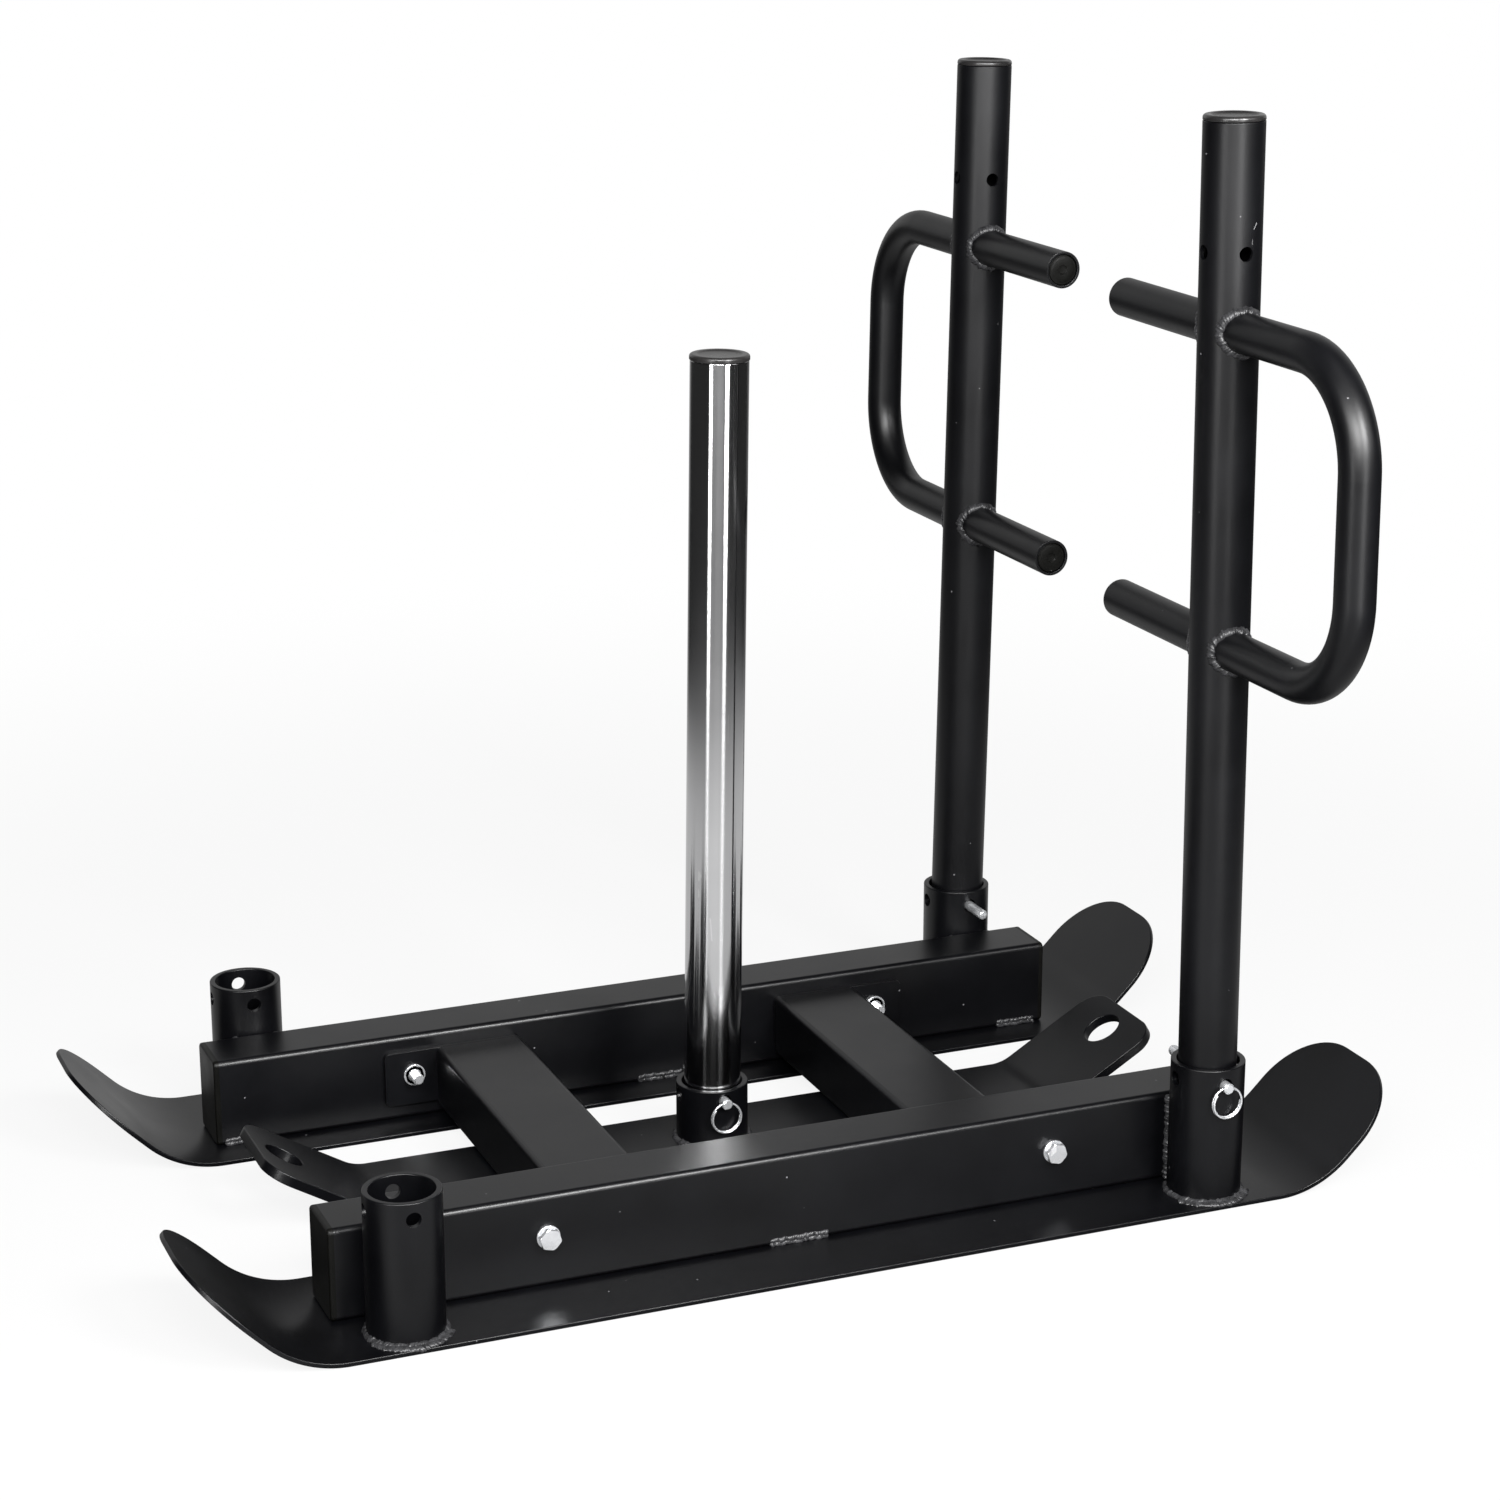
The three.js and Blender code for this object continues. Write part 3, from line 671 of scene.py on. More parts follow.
def barTool(axis, radius, length, centre, sidesCount=48):
    bm = bmesh.new()
    bmesh.ops.create_cone(bm, cap_ends=True, segments=sidesCount, radius1=radius, radius2=radius,
                          depth=length)
    quarter = math.pi / 2
    turn = {"X": Matrix.Rotation(quarter, 4, "Y"), "Y": Matrix.Rotation(quarter, 4, "X"), "Z": Matrix()}
    bm.transform(Matrix.Translation(centre) @ turn[axis])
    return bm


def roundedBox(low, high, axis, corner, segments=8):
    size = high - low
    bm = bmesh.new()
    place = Matrix.Translation((low + high) / 2) @ Matrix.Diagonal((*size, 1.0))
    bmesh.ops.create_cube(bm, size=1.0, matrix=place)
    run = [e for e in bm.edges if abs((e.verts[0].co - e.verts[1].co)[axis]) > size[axis] / 2]
    bevel(bm, run, corner, segments)
    return bm


def boxTube(low, high, axis, corner, wall):
    bm = roundedBox(low, high, axis, corner)
    caps = [f for f in bm.faces if abs(f.normal[axis]) > 0.9]
    bmesh.ops.delete(bm, geom=caps, context="FACES_ONLY")
    bmesh.ops.solidify(bm, geom=bm.faces[:], thickness=wall)
    bmesh.ops.recalc_face_normals(bm, faces=bm.faces)
    return bm


# Skids and centre plate: a flat blank with rounded corners, bent up at both ends
def bendUp(point, start, radius, angle):
    x = abs(point.x)
    sign = 1 if point.x > 0 else -1
    turn = min(max(x - start, 0.0) / radius, angle)
    rest = max(x - start - radius * angle, 0.0)
    flat = min(x, start)
    newX = flat + radius * math.sin(turn) + rest * math.cos(angle)
    return Vector((sign * newX, point.y, radius * (1 - math.cos(turn)) + rest * math.sin(angle)))


def bentPlate(shape, holes=()):
    angle = math.radians(shape["bendAngle"])
    radius = shape["bendRadius"] + shape["thickness"]      # along the underside
    reach = shape["bendStart"] + radius * angle + shape["tipRun"]
    bm = bmesh.new()
    bmesh.ops.create_grid(bm, x_segments=1, y_segments=1, size=1.0,
                          matrix=Matrix.Diagonal((reach, shape["width"] / 2, 1.0, 1.0)))
    bevel(bm, bm.verts[:], shape["corner"], 20, "VERTICES")
    cuts = 20
    lines = [0.0] + [shape["bendStart"] + radius * angle * i / cuts for i in range(cuts + 1)]
    for x in sorted({sign * line for line in lines for sign in (-1, 1)}):
        bmesh.ops.bisect_plane(bm, geom=bm.verts[:] + bm.edges[:] + bm.faces[:], plane_co=(x, 0, 0),
                               plane_no=(1, 0, 0))
    for vert in bm.verts:
        vert.co = bendUp(vert.co, shape["bendStart"], radius, angle)
    bmesh.ops.recalc_face_normals(bm, faces=bm.faces)
    if sum(f.normal.z for f in bm.faces) < 0:
        bmesh.ops.reverse_faces(bm, faces=bm.faces[:])
    bmesh.ops.solidify(bm, geom=bm.faces[:], thickness=-shape["thickness"])
    bmesh.ops.recalc_face_normals(bm, faces=bm.faces)
    bm.transform(Matrix.Translation((0.0, 0.0, shape["bottom"])))
    return bm


skid = {
    "bottom": 0.0, "thickness": 0.004, "width": 0.1614, "bendStart": 0.4121, "bendRadius": 0.090,
    "bendAngle": 44.8, "tipRun": 0.0804, "corner": 0.0645, "edge": 0.0008,
}
for sideName in sides:
    low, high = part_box(f"skid_{sideName}")
    bm = bentPlate(skid)
    bm.transform(Matrix.Translation((0.0, (low.y + high.y) / 2, 0.0)))
    softenEdges(bm, skid["edge"], segments=3, sharper=50)
    finishPiece(f"formed_skid_{sideName}", bm, powderCoat, [f"skid_{sideName}"])

towPlate = {
    "bottom": 0.004, "thickness": 0.009, "width": 0.1144, "bendStart": 0.3035, "bendRadius": 0.038,
    "bendAngle": 30.7, "tipRun": 0.1056, "corner": 0.024, "edge": 0.0009,
    "hole": 0.035, "holeFromTip": 0.029,
}


def buildTowPlate():
    bm = bentPlate(towPlate)
    angle = math.radians(towPlate["bendAngle"])
    middle = towPlate["bendRadius"] + towPlate["thickness"] / 2
    along = towPlate["tipRun"] - towPlate["holeFromTip"]
    top = towPlate["bottom"] + towPlate["thickness"] + towPlate["bendRadius"]
    x = towPlate["bendStart"] + middle * math.sin(angle) + along * math.cos(angle)
    z = top - middle * math.cos(angle) + along * math.sin(angle)
    tools = []
    for end in (-1, 1):
        tool = barTool("Z", towPlate["hole"] / 2, 0.04, (0, 0, 0), 64)
        tool.transform(Matrix.Translation((end * x, 0.0, z)) @ Matrix.Rotation(-end * angle, 4, "Y"))
        tools.append(tool)
    bm = carve(bm, tools)
    softenEdges(bm, towPlate["edge"], segments=3, sharper=50)
    finishPiece("formed_centre_plate", bm, powderCoat, ["centre_plate"])


buildTowPlate()
print("skids and centre plate bent")

# Rails, cross-members and flange plates
tube = {"corner": 0.005, "wall": 0.003}
flange = {"corner": 0.006, "edge": 0.0006}
bolt = {
    "hole": 0.0055, "shank": 0.005, "acrossFlats": 0.0165, "headHeight": 0.0064, "nutHeight": 0.008,
    "tail": 0.0055, "turn": 17.0, "chamferCircle": 1.05, "washer": 0.010, "washerThickness": 0.002,
    "pitch": 0.0015, "threadDepth": 0.0009, "tipRadius": 0.0036, "lead": 0.0012, "threadPast": 0.004,
    "plainFrom": 0.02, "intoHead": 0.001, "nutPlay": 0.0002, "edge": 0.00025, "washerEdge": 0.0004,
}


def boltLine(endName, sideName):
    low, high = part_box(f"flange_bolt_{endName}_{sideName}")
    return (low.x + high.x) / 2, (low.z + high.z) / 2


for sideName in sides:
    low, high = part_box(f"rail_{sideName}")
    bm = boxTube(low, high, 0, tube["corner"], tube["wall"])
    tools = []
    for endName in ends:
        x, z = boltLine(endName, sideName)
        tools.append(barTool("Y", bolt["hole"], 0.08, (x, (low.y + high.y) / 2, z), 32))
    finishPiece(f"tube_rail_{sideName}", carve(bm, tools), powderCoat, [f"rail_{sideName}"])

for endName in ends:
    low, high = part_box(f"cross_member_{endName}")
    bm = boxTube(low, high, 1, tube["corner"], tube["wall"])
    finishPiece(f"tube_cross_member_{endName}", bm, powderCoat, [f"cross_member_{endName}"])
    for sideName in sides:
        node = f"flange_plate_{endName}_{sideName}"
        low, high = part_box(node)
        bm = roundedBox(low, high, 1, flange["corner"])
        x, z = boltLine(endName, sideName)
        bm = carve(bm, [barTool("Y", bolt["hole"], 0.03, (x, low.y, z), 32)])
        softenEdges(bm, flange["edge"], segments=2, sharper=60)
        finishPiece(f"welded_{node}", bm, powderCoat, [node])

# Plugs in the rails' ends: a crowned flange outside, a stub inside the tube
plug = {"flange": 0.005, "round": 0.0024, "stubInset": 0.0033, "stubDepth": 0.018}
for endName, end in ends.items():
    for sideName in sides:
        node = f"rail_plug_{endName}_{sideName}"
        low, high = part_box(node)
        outer = high.x if end > 0 else low.x
        inner = outer - end * plug["flange"]
        low.x, high.x = min(outer, inner), max(outer, inner)
        bm = roundedBox(low, high, 0, tube["corner"])
        softenEdges(bm, plug["round"], segments=5, sharper=60,
                    where=lambda e: all(abs(v.co.x - outer) < 1e-5 for v in e.verts))
        back = [f for f in bm.faces if f.normal.x * end < -0.9]
        bmesh.ops.inset_region(bm, faces=back, thickness=plug["stubInset"], use_even_offset=True)
        stub = bmesh.ops.extrude_face_region(bm, geom=back)["geom"]
        moved = [v for v in stub if isinstance(v, bmesh.types.BMVert)]
        bmesh.ops.translate(bm, verts=moved, vec=(-end * plug["stubDepth"], 0.0, 0.0))
        bmesh.ops.delete(bm, geom=back, context="FACES")
        bmesh.ops.recalc_face_normals(bm, faces=bm.faces)
        finishPiece(f"moulded_{node}", bm, plugPlastic, [node])
print("rails, cross-members, flange plates and plugs made")


# Hex bolts, nuts and washers
def hexBlank(height, bottom, chamferBothEnds):
    radius = bolt["acrossFlats"] / 2 / math.cos(math.pi / 6)
    flat = bolt["acrossFlats"] / 2
    bm = bmesh.new()
    bmesh.ops.create_cone(bm, cap_ends=True, segments=6, radius1=radius, radius2=radius, depth=height)
    bmesh.ops.translate(bm, verts=bm.verts, vec=(0, 0, bottom + height / 2))
    top = bottom + height
    reach = radius + 0.0005
    circle = flat * bolt["chamferCircle"]
    slope = (reach - circle) * math.tan(math.radians(30))
    profile = [(0.0, top), (circle, top), (reach, top - slope)]
    profile += [(reach, bottom + slope), (circle, bottom)] if chamferBothEnds else [(reach, bottom)]
    profile.append((0.0, bottom))
    return carve(bm, [turned(profile, 72)], "INTERSECT")


def threadProfile(bottom, top):
    # A zigzag of thread crests between two heights, listed upwards
    crest = bolt["shank"]
    root = crest - bolt["threadDepth"]
    turns = int((top - bottom) / bolt["pitch"])
    points = []
    for i in range(turns):
        z = bottom + i * bolt["pitch"]
        points += [(root, z), (crest, z + bolt["pitch"] * 0.42), (crest, z + bolt["pitch"] * 0.58)]
    return points


def merged(first, second):
    mesh = bpy.data.meshes.new("joined")
    second.to_mesh(mesh)
    second.free()
    first.from_mesh(mesh)
    bpy.data.meshes.remove(mesh)
    return first


def toSide(bm, x, y, z, side):
    # From an upright axis with its head up, to one along Y with its head outwards
    bm.transform(Matrix.Translation((x, y, z)) @ Matrix.Rotation(-side * math.pi / 2, 4, "X"))


rng = random.Random(11)
for endName in ends:
    for sideName, side in sides.items():
        place = f"{endName}_{sideName}"
        x, z = boltLine(endName, sideName)
        low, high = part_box(f"outer_washer_{place}")
        headSeat = low.y if side < 0 else high.y
        low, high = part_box(f"nut_{place}")
        nutSeat = low.y if side < 0 else high.y
        low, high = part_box(f"flange_bolt_{place}")
        tip = high.y if side < 0 else low.y
        shankLength = abs(headSeat - tip)

        head = hexBlank(bolt["headHeight"], 0.0, False)
        softenEdges(head, bolt["edge"], segments=2, sharper=25)
        threadBottom = -shankLength + bolt["lead"]
        shaft = [(0.0, -shankLength), (bolt["tipRadius"], -shankLength)]
        threadTop = -shankLength + bolt["nutHeight"] + bolt["tail"] + bolt["threadPast"]
        shaft += threadProfile(threadBottom, threadTop)
        shaft += [(bolt["shank"], -bolt["plainFrom"]), (bolt["shank"], bolt["intoHead"])]
        shaft.append((0.0, bolt["intoHead"]))
        bm = merged(head, turned(shaft, 40))
        bm.transform(Matrix.Rotation(math.radians(bolt["turn"] + rng.uniform(-8, 8)), 4, "Z"))
        toSide(bm, x, headSeat, z, side)
        finishPiece(f"hex_bolt_{place}", bm, brightZinc, [f"flange_bolt_{place}"], smooth=28)

        nut = hexBlank(bolt["nutHeight"], 0.0, True)
        nut = carve(nut, [barTool("Z", bolt["shank"] + bolt["nutPlay"], 0.03, (0, 0, 0.004), 40)])
        softenEdges(nut, bolt["edge"], segments=2, sharper=25)
        nut.transform(Matrix.Rotation(rng.uniform(0, math.tau), 4, "Z"))
        toSide(nut, x, nutSeat, z, side)
        finishPiece(f"hex_nut_{place}", nut, brightZinc, [f"nut_{place}"], smooth=28)

        for layer in ("outer", "inner"):
            low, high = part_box(f"{layer}_washer_{place}")
            bm = turned([
                (bolt["hole"], 0.0), (bolt["washer"], 0.0), (bolt["washer"], bolt["washerThickness"]),
                (bolt["hole"], bolt["washerThickness"]), (bolt["hole"], 0.0),
            ], 64)
            softenEdges(bm, bolt["washerEdge"], segments=3, sharper=60)
            toSide(bm, x, low.y if side > 0 else high.y, z, side)
            finishPiece(f"flat_washer_{layer}_{place}", bm, brightZinc, [f"{layer}_washer_{place}"])
print("bolts, nuts and washers made")

# Sockets
socket = {
    "inner": 0.02675, "outer": 0.03175, "rim": 0.001, "hole": 0.00625, "holeDrop": 0.014,
    "postHoleDrop": 0.0096, "holeEdge": 0.0005,
}


def buildSocket(node, holeDrop):
    low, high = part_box(node)
    x, y, height = (low.x + high.x) / 2, (low.y + high.y) / 2, high.z - low.z
    inner, outer = socket["inner"], socket["outer"]
    wall = [(inner, 0.0), (outer, 0.0), (outer, height), (inner, height), (inner, 0.0)]
    bm = turned(wall, 112)
    softenEdges(bm, socket["rim"], segments=4, sharper=60,
                where=lambda e: all(v.co.z > height - 1e-5 for v in e.verts))
    tools = [barTool(axis, socket["hole"], 0.09, (0, 0, height - holeDrop)) for axis in ("X", "Y")]
    bm = carve(bm, tools)
    tidyRims(bm)
    softenEdges(bm, socket["holeEdge"], segments=2, sharper=55,
                where=lambda e: all(v.co.z > 0.001 for v in e.verts))
    bm.transform(Matrix.Translation((x, y, low.z)))
    finishPiece(f"turned_{node}", bm, powderCoat, [node])


for endName in ends:
    for sideName in sides:
        buildSocket(f"socket_{endName}_{sideName}", socket["holeDrop"])
buildSocket("post_socket", socket["postHoleDrop"])
print("sockets made")

# Loose tubes: two uprights and the weight post, each leaning a little in its socket
looseTube = {
    "outer": 0.025, "inner": 0.022, "play": 0.0035, "gap": 0.0003, "pinHole": 0.006, "holeEdge": 0.0004,
    "near": {"x": 0.3575, "y": -0.25, "seat": 0.004, "engaged": 0.121, "share": -0.42, "top": 0.9176,
             "edge": 0.0007},
    "far": {"x": 0.3575, "y": 0.25, "seat": 0.004, "engaged": 0.121, "share": 0.60, "top": 0.9176,
            "edge": 0.0007},
    "post": {"x": 0.0, "y": 0.0, "seat": 0.013, "engaged": 0.0534, "share": 0.23, "top": 0.7094,
             "edge": 0.0003},
}
handle = {
    "radius": 0.0165, "wall": 0.0025, "lower": 0.4904, "pitch": 0.2621, "reachOut": 0.202, "reachIn": 0.1725,
    "bend": 0.0825, "hole": 0.0168, "segments": 48, "bendSteps": 24, "edge": 0.0005,
}
holeHeights = {"foot": 0.111, "fromTop": 0.1026, "post": 0.0568}


def leanOf(place):
    tubeSet = looseTube[place]
    lean = tubeSet["share"] * math.atan(looseTube["play"] / tubeSet["engaged"])
    pivot = tubeSet["seat"] + tubeSet["engaged"] / 2
    matrix = Matrix.Translation((tubeSet["x"], tubeSet["y"], pivot)) @ Matrix.Rotation(lean, 4, "Y")
    foot = tubeSet["seat"] + looseTube["gap"] + looseTube["outer"] * abs(math.sin(lean)) - pivot
    return matrix, pivot, foot


def buildLooseTube(name, place, material, replaced, tools):
    matrix, pivot, foot = leanOf(place)
    top = looseTube[place]["top"] - pivot
    inner, outer = looseTube["inner"], looseTube["outer"]
    bm = turned([(inner, foot), (outer, foot), (outer, top), (inner, top), (inner, foot)], 112)
    softenEdges(bm, looseTube[place]["edge"], segments=3, sharper=60)
    bm = carve(bm, tools(pivot))
    tidyRims(bm)
    softenEdges(bm, looseTube["holeEdge"], segments=2, sharper=55)
    bm.transform(matrix)
    finishPiece(name, bm, material, [replaced])


def uprightTools(pivot):
    lower = handle["lower"] - pivot
    tools = [barTool("Y", handle["hole"], 0.07, (0, 0, z), 64) for z in (lower, lower + handle["pitch"])]
    for z in (holeHeights["foot"] - pivot, looseTube["near"]["top"] - pivot - holeHeights["fromTop"]):
        tools += [barTool(axis, looseTube["pinHole"], 0.07, (0, 0, z)) for axis in ("X", "Y")]
    return tools


for sideName, coat in (("near", scuffedCoat), ("far", tubeCoat)):
    buildLooseTube(f"tube_upright_{sideName}", sideName, coat, f"upright_{sideName}", uprightTools)
buildLooseTube("tube_weight_post", "post", mirrorChrome, "weight_post",
               lambda pivot: [barTool("Y", looseTube["pinHole"], 0.07, (0, 0, holeHeights["post"] - pivot))])

# Caps: a flange with a rounded rim, a dished top and a ribbed stub in the tube
uprightCap = {"rise": 0.005, "radius": 0.025, "rim": 0.0040, "dish": 0.0016, "round": 0.0027}
capStub = {"depth": 0.016, "relief": 0.0008, "ribs": (-0.0125, -0.0085, -0.0045), "ribHalf": 0.0012,
           "ribTop": 0.0004}
postCap = {"rise": 0.0054, "radius": 0.0256, "rim": 0.0050, "dish": 0.0012, "round": 0.0025}


def buildCap(node, place, shape):
    matrix, pivot, _ = leanOf(place)
    outer, rise, gap = shape["radius"], shape["rise"], looseTube["gap"]
    stub = looseTube["inner"] - gap
    flat = outer - shape["rim"]
    core, half, ribTop = stub - capStub["relief"], capStub["ribHalf"], capStub["ribTop"]
    profile = [(0.0, -capStub["depth"]), (core, -capStub["depth"])]
    for z in capStub["ribs"]:      # they grip the bore
        profile += [(core, z - half), (stub, z - ribTop), (stub, z + ribTop), (core, z + half)]
    profile += [(core, gap), (outer - 0.0005, gap), (outer, gap + 0.0005)]
    r = shape["round"]
    for i in range(7):
        a = math.pi / 2 * i / 6
        profile.append((outer - r * (1 - math.cos(a)), rise - r * (1 - math.sin(a))))
    for i in range(1, 7):      # the rim rolls down into a shallow dish
        t = i / 6
        profile.append((flat - 0.0035 * t, rise - shape["dish"] * (3 * t * t - 2 * t ** 3)))
    profile += [(flat * 0.45, rise - shape["dish"] * 1.25), (0.0, rise - shape["dish"] * 1.35)]
    bm = turned(profile, 112)
    bm.transform(matrix @ Matrix.Translation((0, 0, looseTube[place]["top"] - pivot)))
    finishPiece(f"moulded_{node}", bm, capPlastic, [node], smooth=50)


for sideName in sides:
    buildCap(f"upright_cap_{sideName}", sideName, uprightCap)
buildCap("post_cap", "post", postCap)
print("uprights, post and caps made")


# Handles: one tube swept round two bends
def annulus(bm, outer, inner, segments, matrix):
    first = bmesh.ops.create_circle(bm, segments=segments, radius=outer, matrix=matrix)["verts"]
    second = bmesh.ops.create_circle(bm, segments=segments, radius=inner, matrix=matrix)["verts"]
    edges = list({e for v in first + second for e in v.link_edges})
    return bmesh.ops.bridge_loops(bm, edges=edges)["faces"]


def pushFaces(bm, faces, vector):
    made = bmesh.ops.extrude_face_region(bm, geom=faces)["geom"]
    bmesh.ops.translate(bm, verts=[v for v in made if isinstance(v, bmesh.types.BMVert)], vec=vector)
    return [f for f in made if isinstance(f, bmesh.types.BMFace)]


def swingFaces(bm, faces, centre, angle):
    geometry = list({item for f in faces for item in [f, *f.edges, *f.verts]})
    made = bmesh.ops.spin(bm, geom=geometry, cent=centre, axis=(1, 0, 0), angle=angle,
                          steps=handle["bendSteps"])
    return [f for f in made["geom_last"] if isinstance(f, bmesh.types.BMFace)]


def buildHandle(sideName, side):
    matrix, pivot, _ = leanOf(sideName)
    lower = handle["lower"] - pivot
    upper = lower + handle["pitch"]
    r = handle["bend"]
    bm = bmesh.new()
    start = Matrix.Translation((0, -handle["reachIn"], upper)) @ Matrix.Rotation(math.pi / 2, 4, "X")
    faces = annulus(bm, handle["radius"], handle["radius"] - handle["wall"], handle["segments"], start)
    leg = handle["reachIn"] + handle["reachOut"] - r
    faces = pushFaces(bm, faces, (0, leg, 0))
    faces = swingFaces(bm, faces, (0, handle["reachOut"] - r, upper - r), -math.pi / 2)
    faces = pushFaces(bm, faces, (0, 0, -(handle["pitch"] - 2 * r)))
    faces = swingFaces(bm, faces, (0, handle["reachOut"] - r, lower + r), -math.pi / 2)
    pushFaces(bm, faces, (0, -leg, 0))
    bmesh.ops.recalc_face_normals(bm, faces=bm.faces)
    softenEdges(bm, handle["edge"], segments=2, sharper=60)
    bmesh.ops.scale(bm, verts=bm.verts, vec=(1, side, 1))
    bmesh.ops.recalc_face_normals(bm, faces=bm.faces)
    bm.transform(matrix)
    finishPiece(f"bent_handle_{sideName}", bm, tubeCoat, [f"handle_{sideName}"])

    for legName, z in (("lower", lower), ("upper", upper)):
        face = handle["radius"] - handle["wall"] - 0.0003
        bm = turned([
            (0.0, 0.0012), (0.0035, 0.0010), (0.0042, 0.0002), (0.0098, 0.0), (0.0108, 0.0007),
            (face - 0.0008, 0.0007), (face, 0.0014), (face, 0.014), (0.0, 0.014),
        ], 64)
        bm.transform(Matrix.Rotation(-side * math.pi / 2, 4, "X"))
        bm.transform(matrix @ Matrix.Translation((0, -side * (handle["reachIn"] - 0.0006), z)))
        node = f"leg_plug_{legName}_{sideName}"
        finishPiece(f"moulded_{node}", bm, plugPlastic, [node])


for sideName, side in sides.items():
    buildHandle(sideName, side)
print("handles made")

# Retaining pins with their pull rings
pin = {
    "radius": 0.00475, "length": 0.100, "fromEnd": 0.0036, "chamfer": 0.0012, "crossHole": 0.002,
    "ball": 0.002, "ballOut": 0.0004, "ballFromEnd": 0.007,
}
ring = {"radius": 0.01355, "wire": 0.00095, "lap": 220.0, "lapTurn": 19.0, "lapGap": 0.00045, "steps": 220}


def buildPin(place):
    low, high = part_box(f"pin_{place}")
    plainEnd = 1 if place != "far" else -1      # which way along Y the plain end points
    x, z = (low.x + high.x) / 2, (low.z + high.z) / 2
    start, finish = -pin["fromEnd"], pin["length"] - pin["fromEnd"]
    r, c = pin["radius"], pin["chamfer"]
    profile = [
        (0.0, start), (r - c, start), (r, start + c), (r, finish - 2 * c), (r - 0.4 * c, finish - 0.8 * c),
        (r - c, finish - 0.25 * c), (r - 1.8 * c, finish), (0.0, finish),
    ]
    bm = turned(profile, 56)
    bm = carve(bm, [barTool("X", pin["crossHole"], 0.02, (0, 0, 0), 28)])
    for sign in (-1, 1):
        ball = bmesh.new()
        spot = Matrix.Translation((sign * (r + pin["ballOut"] - pin["ball"]), 0, finish - pin["ballFromEnd"]))
        bmesh.ops.create_uvsphere(ball, u_segments=24, v_segments=16, radius=pin["ball"], matrix=spot)
        bm = merged(bm, ball)
    outer = low.y if plainEnd > 0 else high.y
    y = outer + plainEnd * pin["fromEnd"]
    bm.transform(Matrix.Translation((x, y, z)) @ Matrix.Rotation(-plainEnd * math.pi / 2, 4, "X"))
    finishPiece(f"turned_pin_{place}", bm, brightZinc, [f"pin_{place}"], body=f"{place}_pin")
    return Vector((x, y, z))


def buildRing(place, hole):
    low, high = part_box(f"pull_ring_{place}")
    sweep = math.radians(360.0 + ring["lap"])
    climb = (2 * ring["wire"] + ring["lapGap"]) * sweep / math.tau
    bm = bmesh.new()
    wire = bmesh.ops.create_circle(bm, cap_ends=True, segments=20, radius=ring["wire"],
                                   matrix=Matrix.Translation((ring["radius"], -climb / 2, 0.0)))["verts"]
    geometry = list({item for v in wire for item in [v, *v.link_edges, *v.link_faces]})
    bmesh.ops.spin(bm, geom=geometry, cent=(0, 0, 0), axis=(0, -1, 0), angle=sweep, steps=ring["steps"],
                   dvec=(0, climb / ring["steps"], 0))
    bmesh.ops.recalc_face_normals(bm, faces=bm.faces)
    softenEdges(bm, 0.0003, segments=2, sharper=60)
    begin = math.pi / 2 - math.radians(ring["lapTurn"]) - sweep / 2
    bm.transform(Matrix.Rotation(-begin, 4, "Y"))
    sagitta = ring["radius"] - math.sqrt(ring["radius"] ** 2 - pin["radius"] ** 2)
    bm.transform(Matrix.Translation(hole - Vector((0, 0, ring["radius"] - sagitta / 2))))
    finishPiece(f"split_ring_{place}", bm, brightZinc, [f"pull_ring_{place}"], body=f"{place}_ring",
                smooth=50)


for place in ("near", "far", "post"):
    buildRing(place, buildPin(place))
print("pins and rings made")

# Weld beads: overlapping drops along a line, fused and smoothed
weld = {
    "step": 0.0022, "drop": 0.0018, "voxel": 0.00045, "wander": 0.0006, "uneven": 0.22,
    "railFace": 0.21805, "seamOut": 0.0022, "seamAside": 0.0195, "seamTop": 0.0805,
}
beads = {
    # where: (width, height)
    "collar": (0.0086, 0.0030),
    "base": (0.0072, 0.0024),
    "seam": (0.0080, 0.0028),
    "post": (0.0078, 0.0028),
    "stitch": (0.0052, 0.0016),
}


def weldBead(name, rows, width, height, seed, passes=1):
    rng = random.Random(seed)
    bm = bmesh.new()
    drops = [(station, slant) for slant, stations in rows for station in stations]
    for (point, along, out), slant in drops:
        across = out.cross(along).normalized()
        out = along.cross(across).normalized()
        axes = Matrix((across, along.normalized(), out)).transposed().to_4x4()
        size = 1 + rng.uniform(-weld["uneven"], weld["uneven"])
        shift = across * rng.uniform(-1, 1) * weld["wander"] + out * rng.uniform(-0.5, 0.3) * weld["wander"]
        tilt = Matrix.Rotation(math.radians(slant), 4, "Z") @ Matrix.Rotation(rng.uniform(0.25, 0.5), 4, "X")
        shape = Matrix.Diagonal((width / 2 * size, weld["drop"], height * size, 1.0))
        bmesh.ops.create_icosphere(bm, subdivisions=2, radius=1.0,
                                   matrix=Matrix.Translation(point + shift) @ axes @ tilt @ shape)
    lump = addObject("lump", bm)
    fuse = lump.modifiers.new("fuse", "REMESH")
    fuse.mode = "VOXEL"
    fuse.voxel_size = weld["voxel"]
    bm = evaluated(lump)
    dropObject(lump)
    for _ in range(passes):
        bmesh.ops.smooth_vert(bm, verts=bm.verts, factor=0.5, use_axis_x=True, use_axis_y=True,
                              use_axis_z=True)
    finishPiece(name, bm, weldedCoat, smooth=180)


def lineStations(start, stop, out):
    start, stop = Vector(start), Vector(stop)
    count = max(2, round((stop - start).length / weld["step"]))
    return [(start.lerp(stop, i / count), (stop - start).normalized(), Vector(out).normalized())
            for i in range(count + 1)]


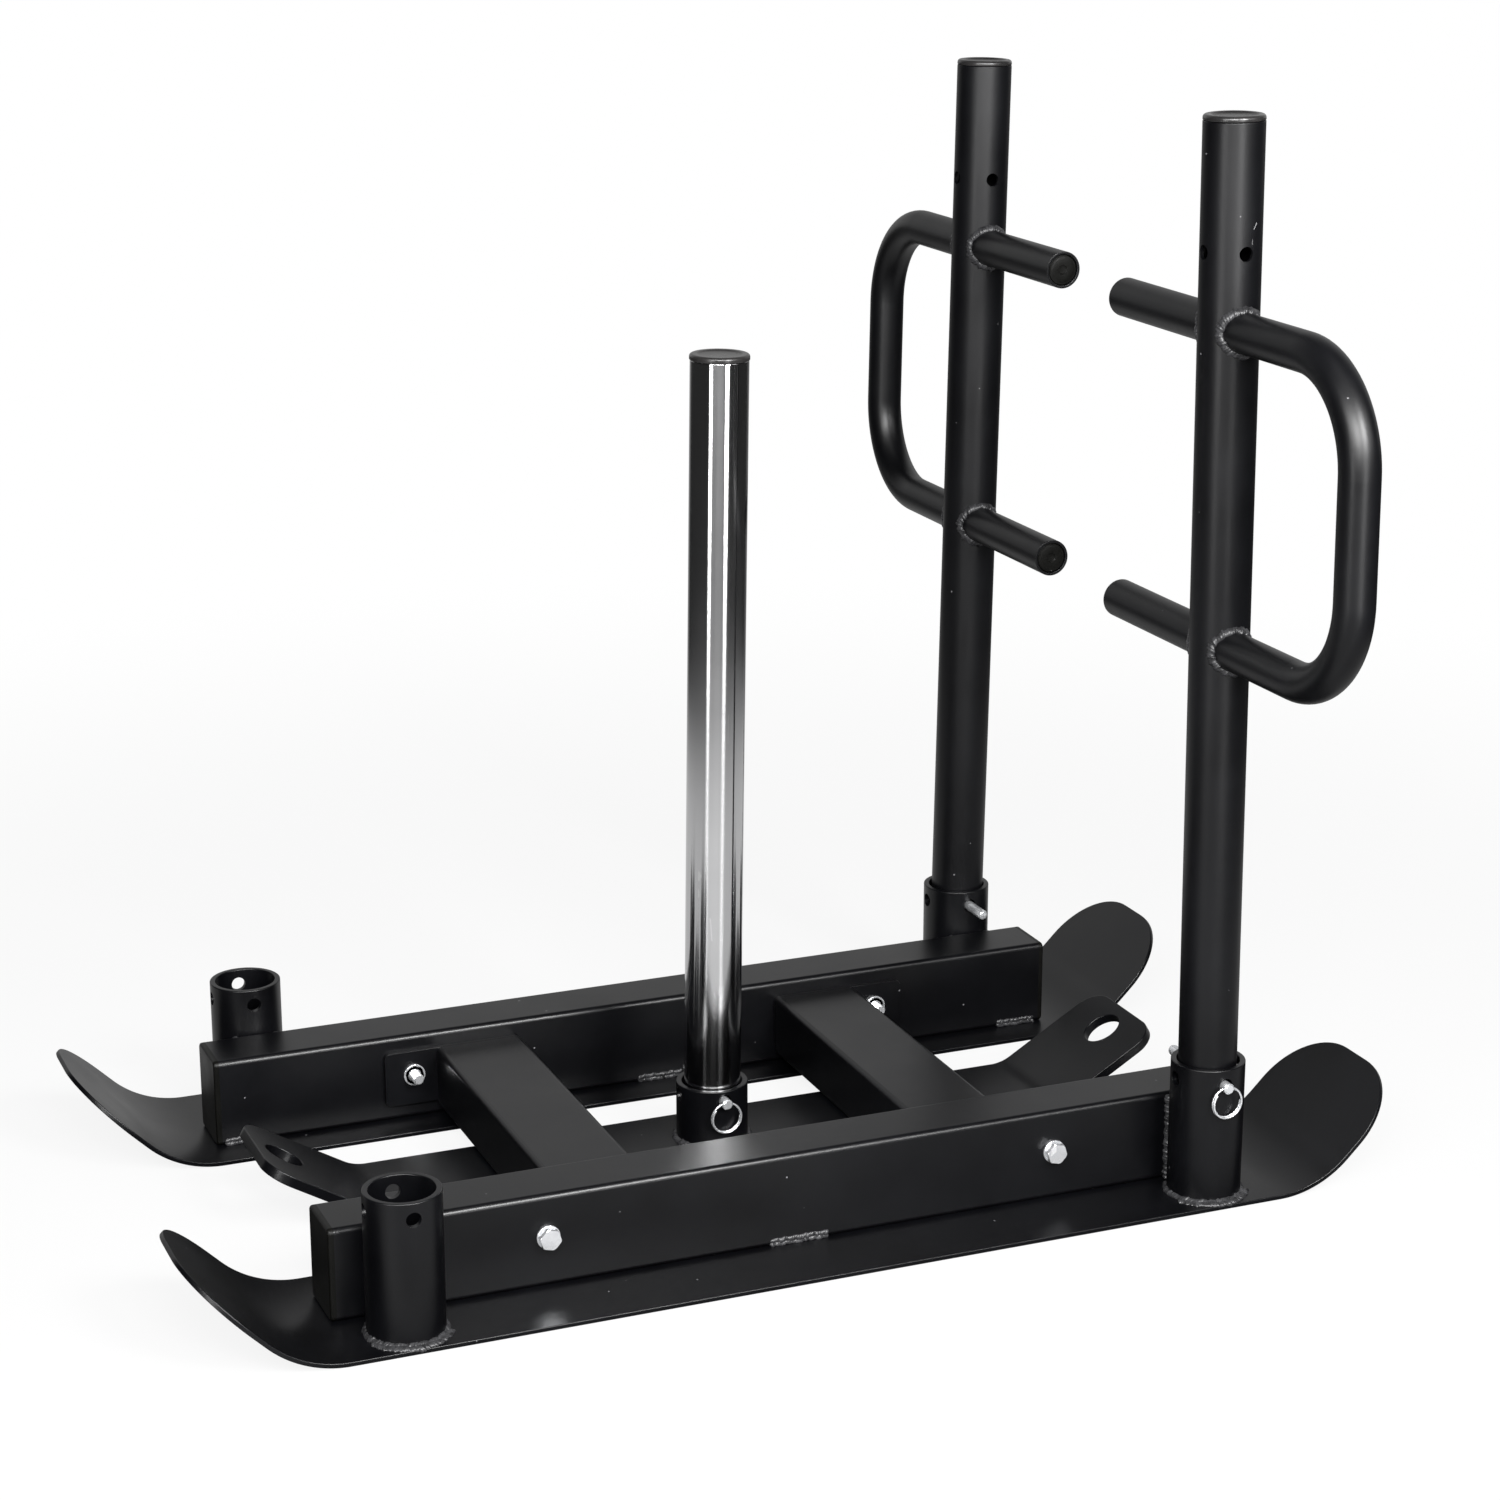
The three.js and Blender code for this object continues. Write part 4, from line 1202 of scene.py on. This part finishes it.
def arcStations(centre, radius, begin, finish, tilt=45.0):
    count = round(math.radians(abs(finish - begin)) * radius / weld["step"])
    stations = []
    for i in range(count + 1):
        a = math.radians(begin + (finish - begin) * i / count)
        radial = Vector((math.cos(a), math.sin(a), 0.0))
        out = radial * math.cos(math.radians(tilt)) + Vector((0, 0, math.sin(math.radians(tilt))))
        stations.append((Vector(centre) + radial * radius, Vector((-math.sin(a), math.cos(a), 0.0)), out))
    return stations


def saddleStations(matrix, z, face):
    # Round a handle's leg where it leaves the upright: face is -1 or 1 along the tube's own Y
    radius = handle["radius"] + 0.0017
    count = round(math.tau * radius / weld["step"])
    stations = []
    for i in range(count):
        a = math.tau * i / count
        x, dz = radius * math.cos(a), radius * math.sin(a)
        y = face * math.sqrt(looseTube["outer"] ** 2 - x ** 2)
        radial = Vector((math.cos(a), 0.0, math.sin(a)))
        normal = Vector((x, y, 0.0)).normalized()
        along = Vector((-math.sin(a), face * x * math.sin(a) / abs(y), math.cos(a)))
        stations.append((matrix @ Vector((x, y + face * 0.0003, z + dz)), matrix.to_3x3() @ along,
                         matrix.to_3x3() @ (radial + normal)))
    return stations


for sideName, side in sides.items():
    matrix, pivot, _ = leanOf(sideName)
    lower = handle["lower"] - pivot
    for legName, z in (("lower", lower), ("upper", lower + handle["pitch"])):
        for faceName, face in (("inner", -side), ("outer", side)):
            rows = [(12, saddleStations(matrix, z, face))]
            weldBead(f"weld_collar_{legName}_{sideName}_{faceName}", rows, *beads["collar"],
                     31 + face + 2 * side + (7 if legName == "upper" else 0), passes=5)

for endName, end in ends.items():
    for sideName, side in sides.items():
        low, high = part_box(f"socket_{endName}_{sideName}")
        x, y = (low.x + high.x) / 2, (low.y + high.y) / 2
        out = 90 * side
        rows = [
            (32, arcStations((x, y, low.z + 0.0010), socket["outer"] + 0.0008, out - 128, out + 128)),
            (-32, arcStations((x, y, low.z), socket["outer"] + 0.0044, out - 62, out + 62, 70.0)),
        ]
        weldBead(f"weld_base_{endName}_{sideName}", rows, *beads["base"], 71 + end + 3 * side, passes=2)
        seamY = weld["railFace"] * side + side * weld["seamOut"]
        for crevice in (-1, 1):
            seamX = x + crevice * weld["seamAside"]
            start, stop = (seamX, seamY, low.z + 0.002), (seamX, seamY, weld["seamTop"])
            weldBead(f"weld_seam_{endName}_{sideName}_{'front' if crevice < 0 else 'rear'}",
                     [(10, lineStations(start, stop, (crevice, side, 0)))], *beads["seam"],
                     91 + crevice + 3 * end + 7 * side, passes=3)

low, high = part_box("post_socket")
rows = [(15, arcStations((0, 0, low.z + 0.0005), socket["outer"] + 0.0012, 0, 354))]
weldBead("weld_base_post", rows, *beads["post"], 113)

stitches = {
    # name: (from x, to x, face y at the near rail, which way it faces)
    "outer_middle": (-0.0325, 0.0170, -0.21765, -1),
    "inner_middle": (-0.0090, 0.0320, -0.16145, 1),
    "inner_front": (-0.4010, -0.3860, -0.16145, 1),
    "inner_rear": (0.3620, 0.3990, -0.16145, 1),
}
for sideName, side in sides.items():
    for i, (stitch, (first, last, y, facing)) in enumerate(stitches.items()):
        y, facing = -side * y, -side * facing
        out = (0.0, facing, 0.55)
        rows = [
            (-30, lineStations((first, y, 0.0056), (last, y, 0.0056), out)),
            (30, lineStations((first, y, 0.0094), (last, y, 0.0094), out)),
        ]
        weldBead(f"weld_stitch_{stitch}_{sideName}", rows, *beads["stitch"], 131 + i + 11 * side)
print("weld beads laid")

bpy.context.view_layer.update()
low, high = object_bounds()
